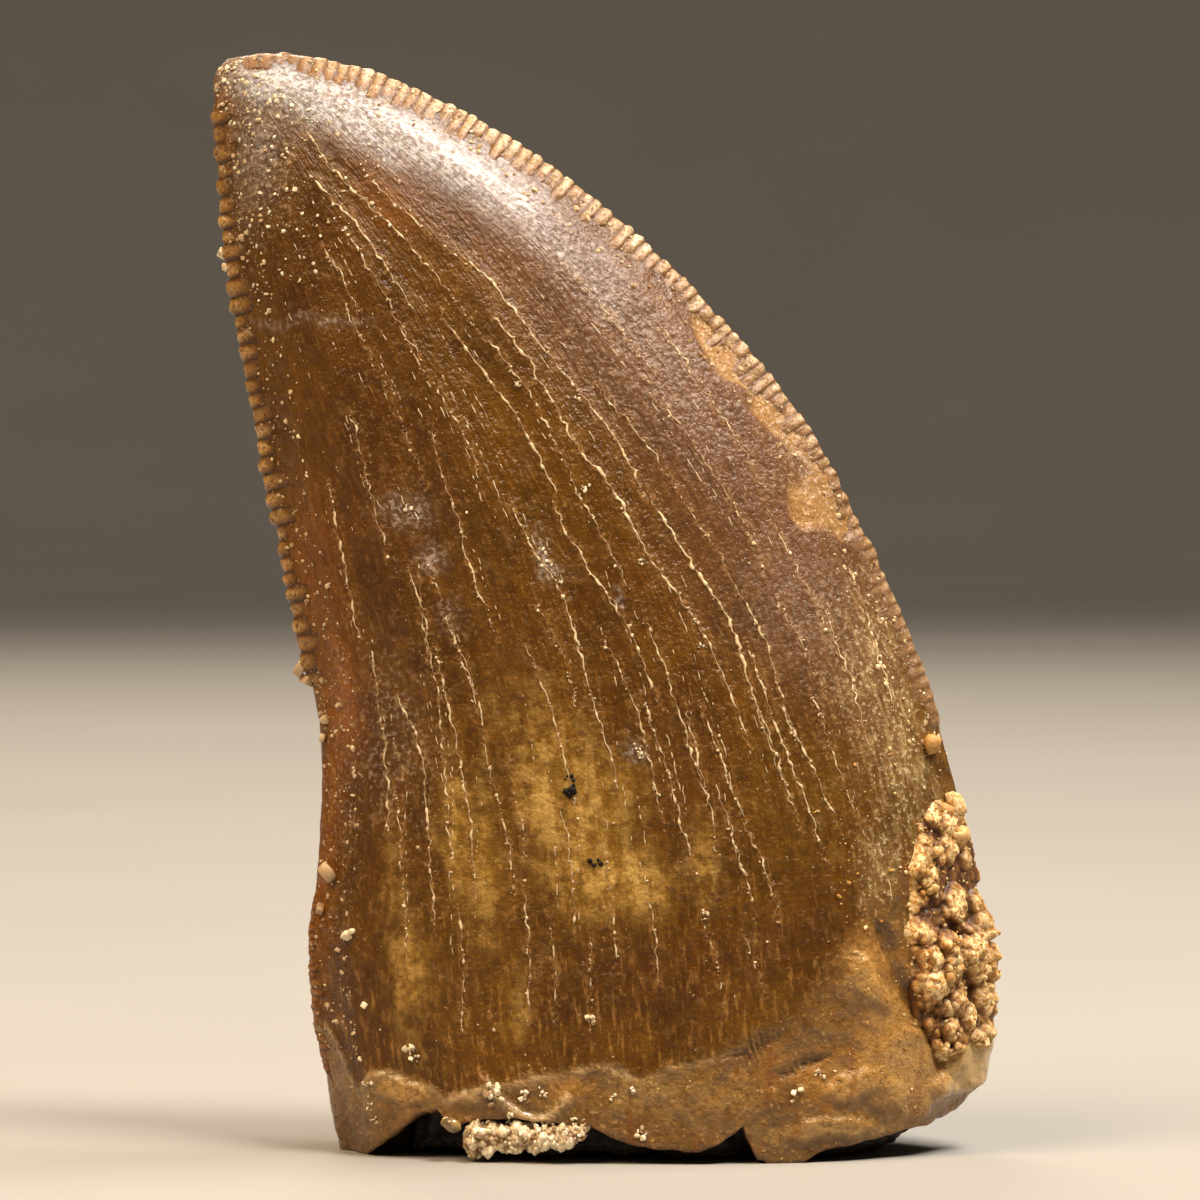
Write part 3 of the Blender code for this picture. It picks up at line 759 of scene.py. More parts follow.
def moved_in(ring, wall, height):
    """The ring drawn towards its middle by a wall's thickness, at its own or a set height."""
    centre = (ring.max(axis=0) + ring.min(axis=0)) / 2
    half = (ring.max(axis=0) - ring.min(axis=0)) / 2
    made = ring.copy()
    made[:, :2] = centre[:2] + (ring[:, :2] - centre[:2]) * (1 - wall / half[:2])
    made[:, 2] = ring[:, 2] if height is None else height
    return made


RIM = SKIN[-1].copy()
RIM[:, 2] = rim
under = []
for share in (0.12, 0.35, 0.6, 0.85):
    ring = moved_in(RIM, WALL * share, None)
    local = np.where(IS_FRONT, height_at(ring[:, 0], FRONT_RIM), height_at(ring[:, 0], BACK_RIM))
    local = np.maximum(local, rim) + (0.10 + 0.25 * share) * smoothstep((share - 0.3) / 0.3)
    broken = 0.10 * rough(ring, 0.45, 71) + 0.05 * rough(ring, 0.16, 72)
    ring[:, 2] = np.where(rim > 0.02, np.maximum(local + broken - 0.04, 0.0), 0.0)
    under.append(ring)
wall_foot = np.where(rim > 0.02, under[-1][:, 2] + 0.3, 0.1)
for share in np.linspace(0, 1, WALL_RINGS):
    level = wall_foot * (1 - share) + (CAVITY_DEPTH - ROOF_RISE) * share
    ring = moved_in(RIM, WALL + WALL_SLOPE * share, level)
    ring[:, :2] += 0.16 * np.stack([rough(ring, 0.5, 77), rough(ring, 0.5, 78)], axis=-1) * share**0.5
    under.append(ring)
under.append(moved_in(RIM, WALL + ROOF_INSET, CAVITY_DEPTH))
UNDER = np.stack(under)
print("rings under the rim:", len(UNDER))

# %% Build the tooth
SKIN[0] = SKIN[0] * 0.5 + crown_surface(0.9995, V) * 0.5
body_rings = np.concatenate([SKIN, UNDER])
below = len(UNDER)


def carried(grid, low):
    """Values at the mesh's points: the top pole, the grid, the rings below and a pole."""
    grid = np.asarray(grid, dtype=float)
    flat = grid.reshape(-1, *grid.shape[2:])
    tail = np.full((below * len(V) + 1, *grid.shape[2:]), low, dtype=float)
    return np.concatenate([flat[:1], flat, tail])


values = {name: carried(mask, 0.0) for name, mask in MASKS.items()}
values["root"] = carried(ROOT, 1.0)
values["lip"] = carried(np.clip(LIP * 0.7 + ARC, 0, 1), 0.0)
values["beside_crack"] = carried(bell(CRACK_GAP, 0.12) * (1 - ROOT), 0.0)
values["pit"] = carried(pits, 0.0)
# The broken value turns the underside and the pulp cavity dark brown in the shader: partly the broken
# dentine, partly painted shade.
values["broken"] = carried(np.zeros(U_GRID.shape), 1.0)
values["broken"][1 + SKIN.shape[0] * len(V):1 + (SKIN.shape[0] + 1) * len(V)] = 0.5
values["low"] = carried(smoothstep((9.0 - FLAT[..., 1]) / 6.0), 0.0)
values["flow"] = carried(flow, 0.0)
tooth = new_piece(
    "tooth_surface", with_poles(body_rings), loft_triangles(len(body_rings), len(V)), values
)
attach(tooth, "root")
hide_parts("tooth")

# %% [markdown]
# ## Serrations
# Both edges are saws of small worn teeth. They could be hundreds of little solids, but on
# the real tooth a saw is one ridge of enamel with grooves across it. So each saw is one
# band: it wraps the edge from the front face to the back face, lies on the finished skin,
# and is lifted off it by a height that rises and falls once for each rib.

# %% Saw band
RIB_STEPS = 12
BAND_COLUMNS = 20
NIB = 0.20
GROOVE_LIFT = 0.012


def edge_frames(u, distal):
    """Points on an edge and the way out of the crown there, as unit arrows."""
    curve = DISTAL if distal else MESIAL
    points, before, after = (np.column_stack(along(curve, u + step)) for step in (0, -0.004, 0.004))
    way = unit(after - before)
    return points, np.column_stack([way[:, 1], -way[:, 0]]) * (-1 if distal else 1)


def facing_out(points, triangles):
    """The triangles of a closed mesh, turned over if the volume they bound is negative."""
    a, b, c = (points[triangles[:, k]] for k in range(3))
    volume = (a * np.cross(b, c)).sum() / 6
    return triangles if volume > 0 else triangles[:, ::-1]


def saw_band(name, distal, span, pitch, out, proud, reach, roundness, worn, seed):
    """One ridged band. Along the edge a rib is (1 - |2w - 1|^roundness)^0.6 over its pitch.
    Inwards from the edge its height falls from `out` to `proud` as a bell, then to nothing
    at `reach`. `worn` gives the share of the ribs' height left at heights Z."""
    length = DISTAL_LENGTH if distal else MESIAL_LENGTH
    ribs = int(round((span[1] - span[0]) * length / pitch))
    random = np.random.default_rng(seed)
    t = np.linspace(0, 1, ribs * RIB_STEPS + 1)
    track = np.column_stack([t * ribs, 0 * t, 0 * t])
    phase = t * ribs + 0.5 * rough(track, 2.6, seed % 7, 2)
    rib = np.clip(np.floor(phase).astype(int), 0, ribs - 1)
    crest = (1 - np.abs(2 * (phase - np.floor(phase)) - 1) ** roundness) ** 0.6
    size = random.uniform(0.5, 1.15, ribs) * np.where(random.uniform(size=ribs) < 0.15, 0.45, 1.0)
    points, outward = edge_frames(span[0] + (span[1] - span[0]) * t, distal)
    left = np.interp(points[:, 1], *np.transpose(worn)) * (1 + 0.5 * rough(track, 5, 88, 2))
    ends = smoothstep(t * ribs / 1.5) * smoothstep((1 - t) * ribs / 1.5)
    inward = reach * np.linspace(0, 1, BAND_COLUMNS) ** 1.6
    u, s = crown_address((points[:, None] - outward[:, None] * inward[:, None]).reshape(-1, 2))
    u, s = u.reshape(len(t), -1), s.reshape(len(t), -1)
    far = inward / (reach * (random.uniform(0.5, 1.15, ribs)[rib] * (0.6 + 0.4 * left))[:, None])
    body = proud + (out - proud) * bell(inward, NIB)
    lift = (crest * size[rib] * left * ends)[:, None] * body * np.clip(1 - far, 0, 1) ** 0.6
    lift = lift + GROOVE_LIFT * (2 * ends[:, None] - 1) - 0.06 * smoothstep((far - 0.6) / 0.4)
    sides = []
    for back in (False, True):
        skin, normal = on_skin(u, angle_of(s, back))
        crumble = 0.085 * rough(skin, 0.28, seed, 4) * (0.5 + 0.5 * np.clip(left, 0, 1))[:, None]
        sides.append(skin + normal * (lift + crumble)[..., None])
    front, back = sides
    core = (front[:, -1:] + back[:, -1:]) / 2
    rings = np.concatenate([front[:, ::-1], back[:, 1:], core], axis=1)
    wide = rings.shape[1]
    rise = (crest * (0.45 + 0.55 * np.clip(left, 0, 1)))[:, None] * np.clip(1 - far, 0, 1) ** 0.5
    rise = np.concatenate([rise[:, ::-1], rise[:, 1:], 0 * rise[:, :1]], axis=1).ravel()
    tone = np.repeat(random.uniform(0, 1, ribs)[rib], wide)
    marks = {"tone": tone, "height": rise}
    marks = {label: np.concatenate([mark[:1], mark, mark[-1:]]) for label, mark in marks.items()}
    made = with_poles(rings)
    piece = new_piece(name, made, facing_out(made, loft_triangles(len(t), wide)), marks)
    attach(piece, "root")
    return piece


# %% Serration rows
UNWORN = [(0.0, 1.0), (32.0, 1.0)]
MESIAL_WEAR = [
    (11.0, 0.3), (17.0, 0.4), (19.5, 0.45), (21.5, 0.6), (24.0, 0.85), (30.2, 1.0), (31.2, 0.8),
    (31.6, 0.5), (31.8, 0.15),
]
distal_saw = saw_band(
    "distal_serrations", True, SAW_SPANS["distal"], 0.49, 0.15, 0.09, 0.62, 1.9, UNWORN, 81,
)
mesial_saw = saw_band(
    "mesial_serrations", False, SAW_SPANS["mesial"], 0.37, 0.10, 0.07, 0.80, 2.1, MESIAL_WEAR, 82,
)
lower_saw = saw_band(
    "lower_distal_serrations", True, SAW_SPANS["lower"], 0.21, 0.035, 0.02, 0.36, 1.8, UNWORN, 83,
)

# %% [markdown]
# ## Mineral threads in the cracks
# Calcite filled the cracks and weathered out as thin beaded threads. Each is a tube that
# follows its crack over the skin, half sunk in it. Its radius swells, shrinks and breaks
# off by noise, so no line looks drawn. Short hairlines, ruled like the cracks of the back,
# fill the front between the cracks. The thinner a thread, the fewer sides its tube has.

# %% Thread tubes
FRONT_SIDES = 6
BACK_SIDES = 5
HAIR_SIDES = 4
HAIRLINE_COUNT = 90
THREAD_RADIUS = 0.025


def thread(point, normal, number, weight, sides):
    """A tube round the path: rings of radius r(t) in the plane of normal and side, where
    r is a bead noise that fades at both ends, and sinks out of sight where it is thin."""
    way = unit(np.gradient(point, axis=0))
    side = unit(np.cross(way, normal))
    t = np.linspace(0, 1, len(point))
    track = np.column_stack([t * len(point) * CRACK_STEP, 0 * t + 5.3 * number, 0 * t])
    swell = np.clip(rough(track, 0.14, 90, 2) - 0.08, 0, 1)
    beads = 0.70 + 0.5 * rough(track, 1.1, 91, 2) + 2.2 * swell
    ends = smoothstep(t / 0.08) * smoothstep((1 - t) / 0.15)
    radius = THREAD_RADIUS * weight * np.clip(beads, 0.0, 1.9) * (0.25 + 0.75 * ends)
    centre = point + normal * (radius * 0.3 - 0.03 * (radius < 0.010))[:, None]
    around = np.linspace(0, 2 * math.pi, sides, endpoint=False)
    shown = np.maximum(radius, 0.004)[:, None, None]
    ring = side[:, None] * np.cos(around)[:, None] + normal[:, None] * (0.7 * np.sin(around))[:, None]
    tone = 0.42 + 1.0 * rough(track, 0.25, 92, 2) + 1.6 * swell + 0.3 * (weight - 1)
    tone = np.repeat(tone, sides)
    return centre[:, None] + ring * shown, np.concatenate([tone[:1], tone, tone[-1:]])


def thread_piece(name, paths, weights, sides):
    """All the threads of one side joined in one mesh."""
    points, triangles, tones, start = [], [], [], 0
    for number, ((point, normal), weight) in enumerate(zip(paths, weights)):
        rings, tone = thread(point, normal, number, weight, sides)
        points.append(with_poles(rings))
        triangles.append(loft_triangles(len(rings), sides) + start)
        tones.append(tone)
        start += len(points[-1])
    points, triangles, tones = (np.concatenate(parts) for parts in (points, triangles, tones))
    piece = new_piece(name, points, triangles, {"tone": tones})
    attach(piece, "root")
    return piece


# %% Lay the threads on both sides
front_paths = []
for line in FRONT_CRACKS:
    u, s = crown_address(line)
    front_paths.append(on_skin(u, angle_of(s)))
random = np.random.default_rng(SEED + 60)
front_weights = random.uniform(0.6, 1.1, len(front_paths))
front_weights[-12:] *= 0.7
front_weights[5:8] = 1.2
back_paths = [on_skin(u[::2], angle_of(s[::2], back=True)) for u, s in BACK_RULES]
hair_paths = [on_skin(u, angle_of(s)) for u, s in ruled_cracks(HAIRLINE_COUNT, 0.22, SEED + 41)]
front_threads = thread_piece("crack_threads_front", front_paths, front_weights, FRONT_SIDES)
back_weights = random.uniform(0.6, 1.2, len(back_paths))
back_threads = thread_piece("crack_threads_back", back_paths, back_weights, BACK_SIDES)
hair_weights = random.uniform(0.25, 0.45, len(hair_paths))
hair_threads = thread_piece("hairlines_front", hair_paths, hair_weights, HAIR_SIDES)

# %% [markdown]
# ## Grains
# Sand and small crystals are everywhere on a fossil. A grain is a rounded box, the
# superquadric whose points are signed powers of sines and cosines, so one number takes
# it from a ball to a cube. A whole cloud of grains, each turned, stretched and dented in
# its own way, is one array operation and one mesh.

# %% Grain cloud
COARSE = (3, 6)
MEDIUM = (5, 8)
FINE = (7, 10)


def grain_points(
    centres, sizes, random, grid, squareness=(0.55, 1.0), dent=0.10, stretch=(0.55, 1.25),
):
    """Points (grain, row, column): each grain a superquadric, stretched, turned and dented."""
    count, (rows, columns) = len(centres), grid
    polar = (np.arange(rows) + 0.7) / (rows + 0.4) * math.pi
    around = np.linspace(0, 2 * math.pi, columns, endpoint=False)
    power = random.uniform(*squareness, (count, 1, 1))
    ring = signed_power(np.sin(polar)[None, :, None], power)
    shape = np.stack([
        ring * signed_power(np.cos(around)[None, None], power),
        ring * signed_power(np.sin(around)[None, None], power),
        signed_power(np.cos(polar)[None, :, None], power) * np.ones((1, 1, columns)),
    ], axis=-1)
    shape = shape * random.uniform(*stretch, (count, 1, 1, 3))
    turn, _ = np.linalg.qr(random.normal(size=(count, 3, 3)))
    turn *= np.sign(np.linalg.det(turn))[:, None, None]
    shape = np.einsum("grcj,gij->grci", shape, turn) * np.asarray(sizes)[:, None, None, None]
    made = shape + np.asarray(centres)[:, None, None]
    bump = rough(made + random.uniform(0, 50, (count, 1, 1, 3)), 0.3, 95, 2)
    return made + unit(shape) * (dent * bump * np.asarray(sizes)[:, None, None])[..., None]


def grain_piece(name, centres, sizes, seed, slot, grid=FINE, tones=(0.0, 1.0), **shape):
    """One mesh of many grains, each with its own tone; the smallest keep flat facets."""
    random = np.random.default_rng(seed)
    points = with_poles(grain_points(centres, sizes, random, grid, **shape))
    tone = np.repeat(random.uniform(*tones, len(centres)), points.shape[1])
    triangles = loft_triangles(*grid, len(centres))
    piece = new_piece(name, points.reshape(-1, 3), triangles, {"tone": tone})
    if grid == COARSE:
        piece.data.shade_flat()
    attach(piece, "root")
    return piece


def crumb_cloud(name, point, normal, sizes, lift, seed, slot, **shape):
    """Coarse grains on a skin, each centre lifted off it by a share of the grain's size."""
    centres = point + normal * sizes[:, None] * lift
    return grain_piece(name, centres, sizes, seed, slot, grid=COARSE, **shape)


# %% [markdown]
# ## The crust of sandy rock
# A patch of the rock that held the tooth still clings to the lower bowed edge. Its bed is
# a knobbly sheet folded round the edge: at each place the height is that of the tallest
# dome over it, big knobs first and small buds on top, which is how packed nodules look.
# Then small crystals are set into the bed, and loose grains lie on the enamel round it.

# %% Crust bed
CRUST_U = (0.066, 0.246)
CRUST_REACH = [(0.0, 1.3), (0.15, 2.0), (0.45, 2.35), (0.75, 2.0), (0.9, 1.5), (1.0, 0.7)]
CRUST_BACK_SHARE = 0.8
CRUST_FULLNESS = [
    (0.0, 0.0), (0.05, 1.0), (0.2, 0.85), (0.45, 1.0), (0.6, 0.55), (0.92, 0.45), (1.0, 0.0),
]
CRUST_ROWS = 260
CRUST_COLUMNS = 170
CRUST_FAN = 80


def crust_bed(a, t):
    """Where the crust sits and which way it grows. a is -1 on the front, 0 on the edge
    and 1 on the back, and t runs up from its lower end."""
    u = CRUST_U[0] + (CRUST_U[1] - CRUST_U[0]) * t
    reach = np.interp(t, *np.transpose(CRUST_REACH)) * np.where(a < 0, 1, CRUST_BACK_SHARE)
    v = angle_of(1 - np.abs(a) * reach / edges_at(u)[-1])
    foot = crown_surface(u, np.where(a < 0, v, 2 * math.pi - v))
    turn = np.radians(CRUST_FAN) * signed_power(a, 0.5)
    return foot, np.stack([np.cos(turn), np.sin(turn), 0 * turn], axis=-1)


def domes(points, centres, sizes):
    """Height of the tallest dome over each point: sqrt(1 - (d/r)^2) * r."""
    best = np.zeros(len(points))
    for centre, size in zip(centres, sizes):
        away = ((points - centre) ** 2).sum(axis=1) / size**2
        best = np.maximum(best, np.sqrt(np.clip(1 - away, 0, 1)) * size)
    return best


# %% Build the crust bed
KNOBS, BUDS = 190, 1300
KNOB_SIZES, BUD_SIZES = (0.22, 0.58), (0.08, 0.20)
LEVEL = 0.5
CRUST_DEPTH = 2.4
TOPS_FULL = 0.62
random = np.random.default_rng(SEED + 70)
t, a = np.meshgrid(np.linspace(0, 1, CRUST_ROWS), np.linspace(-1, 1, CRUST_COLUMNS), indexing="ij")
bed, grows = crust_bed(a, t)
level = (bed + grows * LEVEL).reshape(-1, 3)


def crust_domes(count, sizes):
    """Domes of random size, spread over the crust at one level above its bed."""
    middle, way = crust_bed(random.uniform(-1, 1, count), random.uniform(0, 1, count))
    return domes(level, middle + way * LEVEL, random.uniform(*sizes, count)).reshape(t.shape)


big = crust_domes(KNOBS, KNOB_SIZES)
fine = crust_domes(BUDS, BUD_SIZES)
ends = np.interp(t, *np.transpose(CRUST_FULLNESS))
torn = 0.5 * rough(level, 0.8, 71).reshape(t.shape) * (np.abs(a) > 0.7)
ragged = smoothstep((1 - np.abs(a)) / 0.2 + torn)
sit = 0.12 + big + 0.7 * fine + 0.11 * rough(level, 0.26, 72, 3).reshape(t.shape)
height = np.maximum(sit, 0) * ends * (0.15 + 0.85 * ragged) - 0.06 * (1 - ragged * ends)
crust_skin = bed + grows * height[..., None]
crust_root = crust_skin.mean(axis=1, keepdims=True) - [CRUST_DEPTH, 0, 0]
crust_rings = np.concatenate([crust_skin, crust_root], axis=1)
# tops is the height of the domes: in the finish the low places between knobs turn dark brown, which is
# painted shade, and the high ones cream.
tops = np.concatenate([big * 0.75 + fine * 1.2, 0 * t[:, :1]], axis=1).ravel()
tops = np.concatenate([[0.0], tops, [0.0]]) / TOPS_FULL
crust = new_piece(
    "sandy_crust_bed",
    with_poles(crust_rings),
    loft_triangles(CRUST_ROWS, CRUST_COLUMNS + 1)[:, ::-1],
    {"tops": tops},
)
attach(crust, "root")
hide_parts("matrix_crust")

# %% Crystals set in the crust
CRYSTALS = 700
LARGE_SHARE = 0.05
where_a = random.uniform(-0.98, 0.98, CRYSTALS)
where_t = random.uniform(0.02, 0.99, CRYSTALS)
crystal_bed, crystal_way = crust_bed(where_a, where_t)
row = np.clip((where_t * (CRUST_ROWS - 1)).astype(int), 0, CRUST_ROWS - 1)
column = np.clip(((where_a + 1) / 2 * (CRUST_COLUMNS - 1)).astype(int), 0, CRUST_COLUMNS - 1)
large = random.uniform(size=CRYSTALS) < LARGE_SHARE
crystal_size = np.where(large, random.uniform(0.10, 0.2, CRYSTALS), random.uniform(0.02, 0.06, CRYSTALS))
lift = np.maximum(height[row, column], 0) + np.where(large, -0.5, -0.1) * crystal_size
crystals = grain_piece(
    "crust_crystals", crystal_bed + crystal_way * lift[:, None], crystal_size, 101, "sandy_matrix",
    grid=MEDIUM, squareness=(0.25, 0.8), dent=0.6, stretch=(0.4, 1.3),
)

# %% Loose grains beside the crust
LOOSE = 360
loose_u = random.uniform(0.03, 0.29, LOOSE)
loose_mm = 1.6 + 2.8 * random.uniform(0, 1, LOOSE) ** 2
loose_side = random.uniform(size=LOOSE) < 0.35
loose_v = angle_of(1 - loose_mm / edges_at(loose_u)[-1])
loose_point, loose_normal = on_skin(loose_u, np.where(loose_side, 2 * math.pi - loose_v, loose_v))
loose_size = 0.014 + 0.05 * random.uniform(0, 1, LOOSE) ** 3
loose = crumb_cloud(
    "loose_crust_grains", loose_point, loose_normal, loose_size, 0.15, 107, "sandy_matrix",
    squareness=(0.35, 0.8), dent=0.7, stretch=(0.35, 1.3),
)

# %% [markdown]
# ## The pale grains under the rim
# A short band of cream calcite is cemented under the middle of the front rim. It is a
# tube along a line, swollen by domes as the crust is, with small grains stuck to it.

# %% Cream grain strip
STRIP_X = (-4.1, -0.45)
STRIP_PATH = [(-4.1, 0.62), (-3.6, 0.68), (-2.9, 0.72), (-2.0, 0.74), (-1.2, 0.86), (-0.45, 1.12)]
STRIP_GIRTH = [
    (0.0, 0.30), (0.08, 0.56), (0.2, 0.50), (0.28, 0.38), (0.38, 0.46), (0.5, 0.36), (0.6, 0.43),
    (0.72, 0.36), (0.82, 0.44), (0.93, 0.36), (1.0, 0.16),
]
STRIP_INSET = 0.16
STRIP_SHARE = 0.7
STRIP_ROWS, STRIP_COLUMNS = 240, 84


def strip_line(x):
    """Middle of the strip at X: just inside the outer face of the front wall."""
    outer = crown_surface(0.02, np.linspace(0.1, math.pi - 0.1, 120))
    return np.interp(x, outer[:, 0], outer[:, 1]) + STRIP_INSET


def strip_place(t, turn, share=STRIP_SHARE):
    """A point of the strip: t along it, an angle round it, and a share of its girth out."""
    x = STRIP_X[0] + (STRIP_X[1] - STRIP_X[0]) * t
    reach = np.interp(t, *np.transpose(STRIP_GIRTH)) * share
    way = np.stack([0 * t, np.cos(turn), np.sin(turn)], axis=-1)
    line = np.stack([x, strip_line(x), height_at(x, STRIP_PATH)], axis=-1)
    return line + way * reach[..., None], way


print("the strip lies", round(float(strip_line(-2.0)), 2), "mm from the plane of the edges")

# %% Lumps of the strip
STRIP_KNOBS, STRIP_BUDS = 64, 900
STRIP_LOWEST = 0.03
FULL_TURN = 2 * math.pi
random = np.random.default_rng(SEED + 80)
strip_t, strip_turn = np.meshgrid(
    np.linspace(0, 1, STRIP_ROWS), np.linspace(0, FULL_TURN, STRIP_COLUMNS, endpoint=False), indexing="ij",
)
strip_skin, strip_way = strip_place(strip_t, strip_turn)
lobes, _ = strip_place(random.uniform(0, 1, STRIP_KNOBS), random.uniform(0, FULL_TURN, STRIP_KNOBS))
buds, _ = strip_place(random.uniform(0, 1, STRIP_BUDS), random.uniform(0, FULL_TURN, STRIP_BUDS))
strip_flat = strip_skin.reshape(-1, 3)
lobe = domes(strip_flat, lobes, random.uniform(0.10, 0.24, STRIP_KNOBS)).reshape(strip_t.shape)
bud = domes(strip_flat, buds, random.uniform(0.035, 0.10, STRIP_BUDS)).reshape(strip_t.shape)
crumble = 0.10 * rough(strip_skin, 0.25, 79, 4)
taper = smoothstep(strip_t / 0.04) * smoothstep((1 - strip_t) / 0.06)
swell = (0.95 * lobe + 0.9 * bud + crumble - 0.06) * taper
strip_skin = strip_skin + strip_way * swell[..., None]
strip_skin[..., 2] = np.maximum(strip_skin[..., 2], STRIP_LOWEST)
strip_points = with_poles(strip_skin)
# The tone rises on the lumps and on the upper side: the calcite's own cream, with painted light on the tops
# and the upper side and painted shade in the crevices.
strip_tone_with_light = 0.18 + 2.6 * lobe + 5.0 * bud + 2.0 * crumble + 0.12 * np.sin(strip_turn)
strip_tone_with_light = np.concatenate([[0.0], strip_tone_with_light.ravel(), [0.0]])
strip = new_piece(
    "cream_grain_strip", strip_points,
    facing_out(strip_points, loft_triangles(STRIP_ROWS, STRIP_COLUMNS)), {"tone": strip_tone_with_light},
)
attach(strip, "root")
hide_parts("grain_strip")

# %% Grains on the strip
STRIP_GRAINS = 320
grain_t = random.uniform(0.02, 0.98, STRIP_GRAINS)
grain_at, _ = strip_place(grain_t, random.uniform(0, FULL_TURN, STRIP_GRAINS), 0.98)
grain_at[:, 2] = np.maximum(grain_at[:, 2], 0.12)
strip_grains = grain_piece(
    "strip_grains", grain_at, random.uniform(0.02, 0.07, STRIP_GRAINS), 102, "cream_grains",
    grid=COARSE, squareness=(0.35, 0.9), dent=0.8, stretch=(0.35, 1.3), tones=(0.2, 1.1),
)

# %% [markdown]
# ## The rock in the pulp cavity
# The cavity is packed with dark rock. Only its lower face shows, under the notch and as
# a rough lip at the right. Its rings are the rim moved in, domes and noise make its face,
# and its sides are rough so that the gap to the wall doesn't look turned on a lathe.

# %% Dark infill
FILL_TOP = 2.9
FILL_FACE = 0.55
FILL_LIP = 0.8
FILL_LIP_X = 7.2
FILL_LIP_WIDTH = 1.9
FILL_LIP_BOTTOM = [(7.0, 0.0), (7.8, 0.12), (8.6, 0.5), (9.4, 0.9)]
FILL_RINGS = 42
FILL_SIDE_RINGS = 10
FILL_LUMPS = 260
random = np.random.default_rng(SEED + 90)
mouth = moved_in(RIM, WALL + 0.02, FILL_FACE)
centre = (mouth.max(axis=0) + mouth.min(axis=0)) / 2
shares = np.linspace(1, 0.02, FILL_RINGS)[:, None, None]
face = centre + (mouth - centre)[None] * shares
towards = mouth[random.integers(0, len(mouth), FILL_LUMPS)] - centre
lumps = centre + towards * random.uniform(0.05, 1, (FILL_LUMPS, 1)) ** 0.6
rise = domes(face.reshape(-1, 3), lumps, random.uniform(0.3, 1.0, FILL_LUMPS)).reshape(face.shape[:2])
lip = FILL_LIP * bell(face[..., 0] - FILL_LIP_X, FILL_LIP_WIDTH)
grainy = 0.16 * rough(face, 0.5, 73) + 0.10 * rough(face, 0.2, 74)
lowest = height_at(face[..., 0], FILL_LIP_BOTTOM) + 0.3 * np.abs(grainy)
face[..., 2] = np.maximum(np.maximum(0.02, lowest), face[..., 2] - 0.5 * rise - lip + grainy)
face[..., :2] += 0.22 * np.stack([rough(face, 0.5, 75), rough(face, 0.5, 76)], axis=-1)
fill_top = moved_in(RIM, WALL + ROOF_INSET + 0.1, FILL_TOP)
fill_wall = moved_in(RIM, WALL + WALL_SLOPE, FILL_TOP - ROOF_RISE)
down_side = np.linspace(0, 1, FILL_SIDE_RINGS + 1)[:-1, None, None]
side = fill_wall * (1 - down_side) + face[:1] * down_side
side[..., :2] += 0.2 * np.stack([rough(side, 0.6, 75), rough(side, 0.6, 76)], axis=-1) * down_side
fill_rings = np.concatenate([fill_top[None], side, face])
# Its tops are the heights of the lumps; its finish darkens the low places between them, which is painted
# shade.
infill = new_piece(
    "dark_infill_rock", with_poles(fill_rings), loft_triangles(len(fill_rings), len(V)),
    {"tops": np.concatenate([np.zeros((1 + FILL_SIDE_RINGS) * len(V) + 1), rise.ravel(), [0.0]])},
)
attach(infill, "root")
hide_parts("pulp_fill")

# %% [markdown]
# ## Stray grains and specks
# Some grains are big enough to know by place: tan ones by the bowed edge, crystals on the
# steep edge, a clear bead in the notch, cream ones on the rim. Two groups of black specks
# of iron mineral sit in the golden patch. Others are known only by how thick they lie.

# %% Named grains
NAMED_GRAINS = {
    "tan": [(928, 744, 0.28), (951, 836, 0.32), (952, 806, 0.26), (941, 1000, 0.28), (925, 885, 0.26),
            (918, 940, 0.30), (930, 990, 0.24)],
    "crystal": [(301, 668, 0.22), (306, 680, 0.16), (326, 720, 0.11), (324, 738, 0.10), (331, 872, 0.25),
                (323, 908, 0.17), (350, 932, 0.13), (355, 927, 0.12), (340, 947, 0.09), (367, 1000, 0.08),
                (222, 256, 0.16), (228, 266, 0.13)],
    "bead": [(457, 1123, 0.27), (450, 1111, 0.17)],
    "cream": [(371, 1077, 0.12), (410, 1040, 0.13), (418, 1049, 0.11), (499, 1083, 0.16),
              (492, 1075, 0.16), (545, 1078, 0.13), (527, 1083, 0.15), (512, 1103, 0.13), (372, 1100, 0.10),
              (377, 1112, 0.10), (591, 1010, 0.13), (612, 1082, 0.08), (634, 1078, 0.09), (640, 1120, 0.12),
              (790, 1083, 0.13), (815, 1062, 0.10), (702, 905, 0.09), (543, 548, 0.10), (547, 562, 0.10),
              (560, 578, 0.09), (636, 742, 0.10), (640, 750, 0.10), (408, 508, 0.09), (418, 515, 0.08),
              (578, 396, 0.10), (520, 384, 0.09), (586, 488, 0.09), (640, 560, 0.08), (700, 640, 0.08)],
    "black": [(566, 773, 0.045), (568, 770, 0.05), (572, 770, 0.05), (574, 774, 0.055), (574, 779, 0.07),
              (572, 784, 0.12), (567, 785, 0.10), (570, 788, 0.10), (575, 786, 0.08), (590, 853, 0.07),
              (594, 857, 0.07), (598, 852, 0.06), (601, 856, 0.06)],
}


def set_grains(name, colour, sink, seed, slot, cluster=1, **shape):
    """Grains at named pixels, each sunk into the skin by a share of its size. A cluster
    puts several smaller ones round each place."""
    rows = np.repeat(np.array(NAMED_GRAINS[colour], dtype=float), cluster, axis=0)
    if cluster > 1:
        random = np.random.default_rng(seed)
        rows[:, :2] += random.normal(0, 0.7, (len(rows), 2)) * rows[:, 2:] / PIXEL
        rows[:, 2] *= random.uniform(0.2, 0.6, len(rows))
    point, normal, _ = on_front(rows[:, :2])
    centres = point + normal * (rows[:, 2:] * (1 - sink))
    return grain_piece(name, centres, rows[:, 2], seed, slot, **shape)


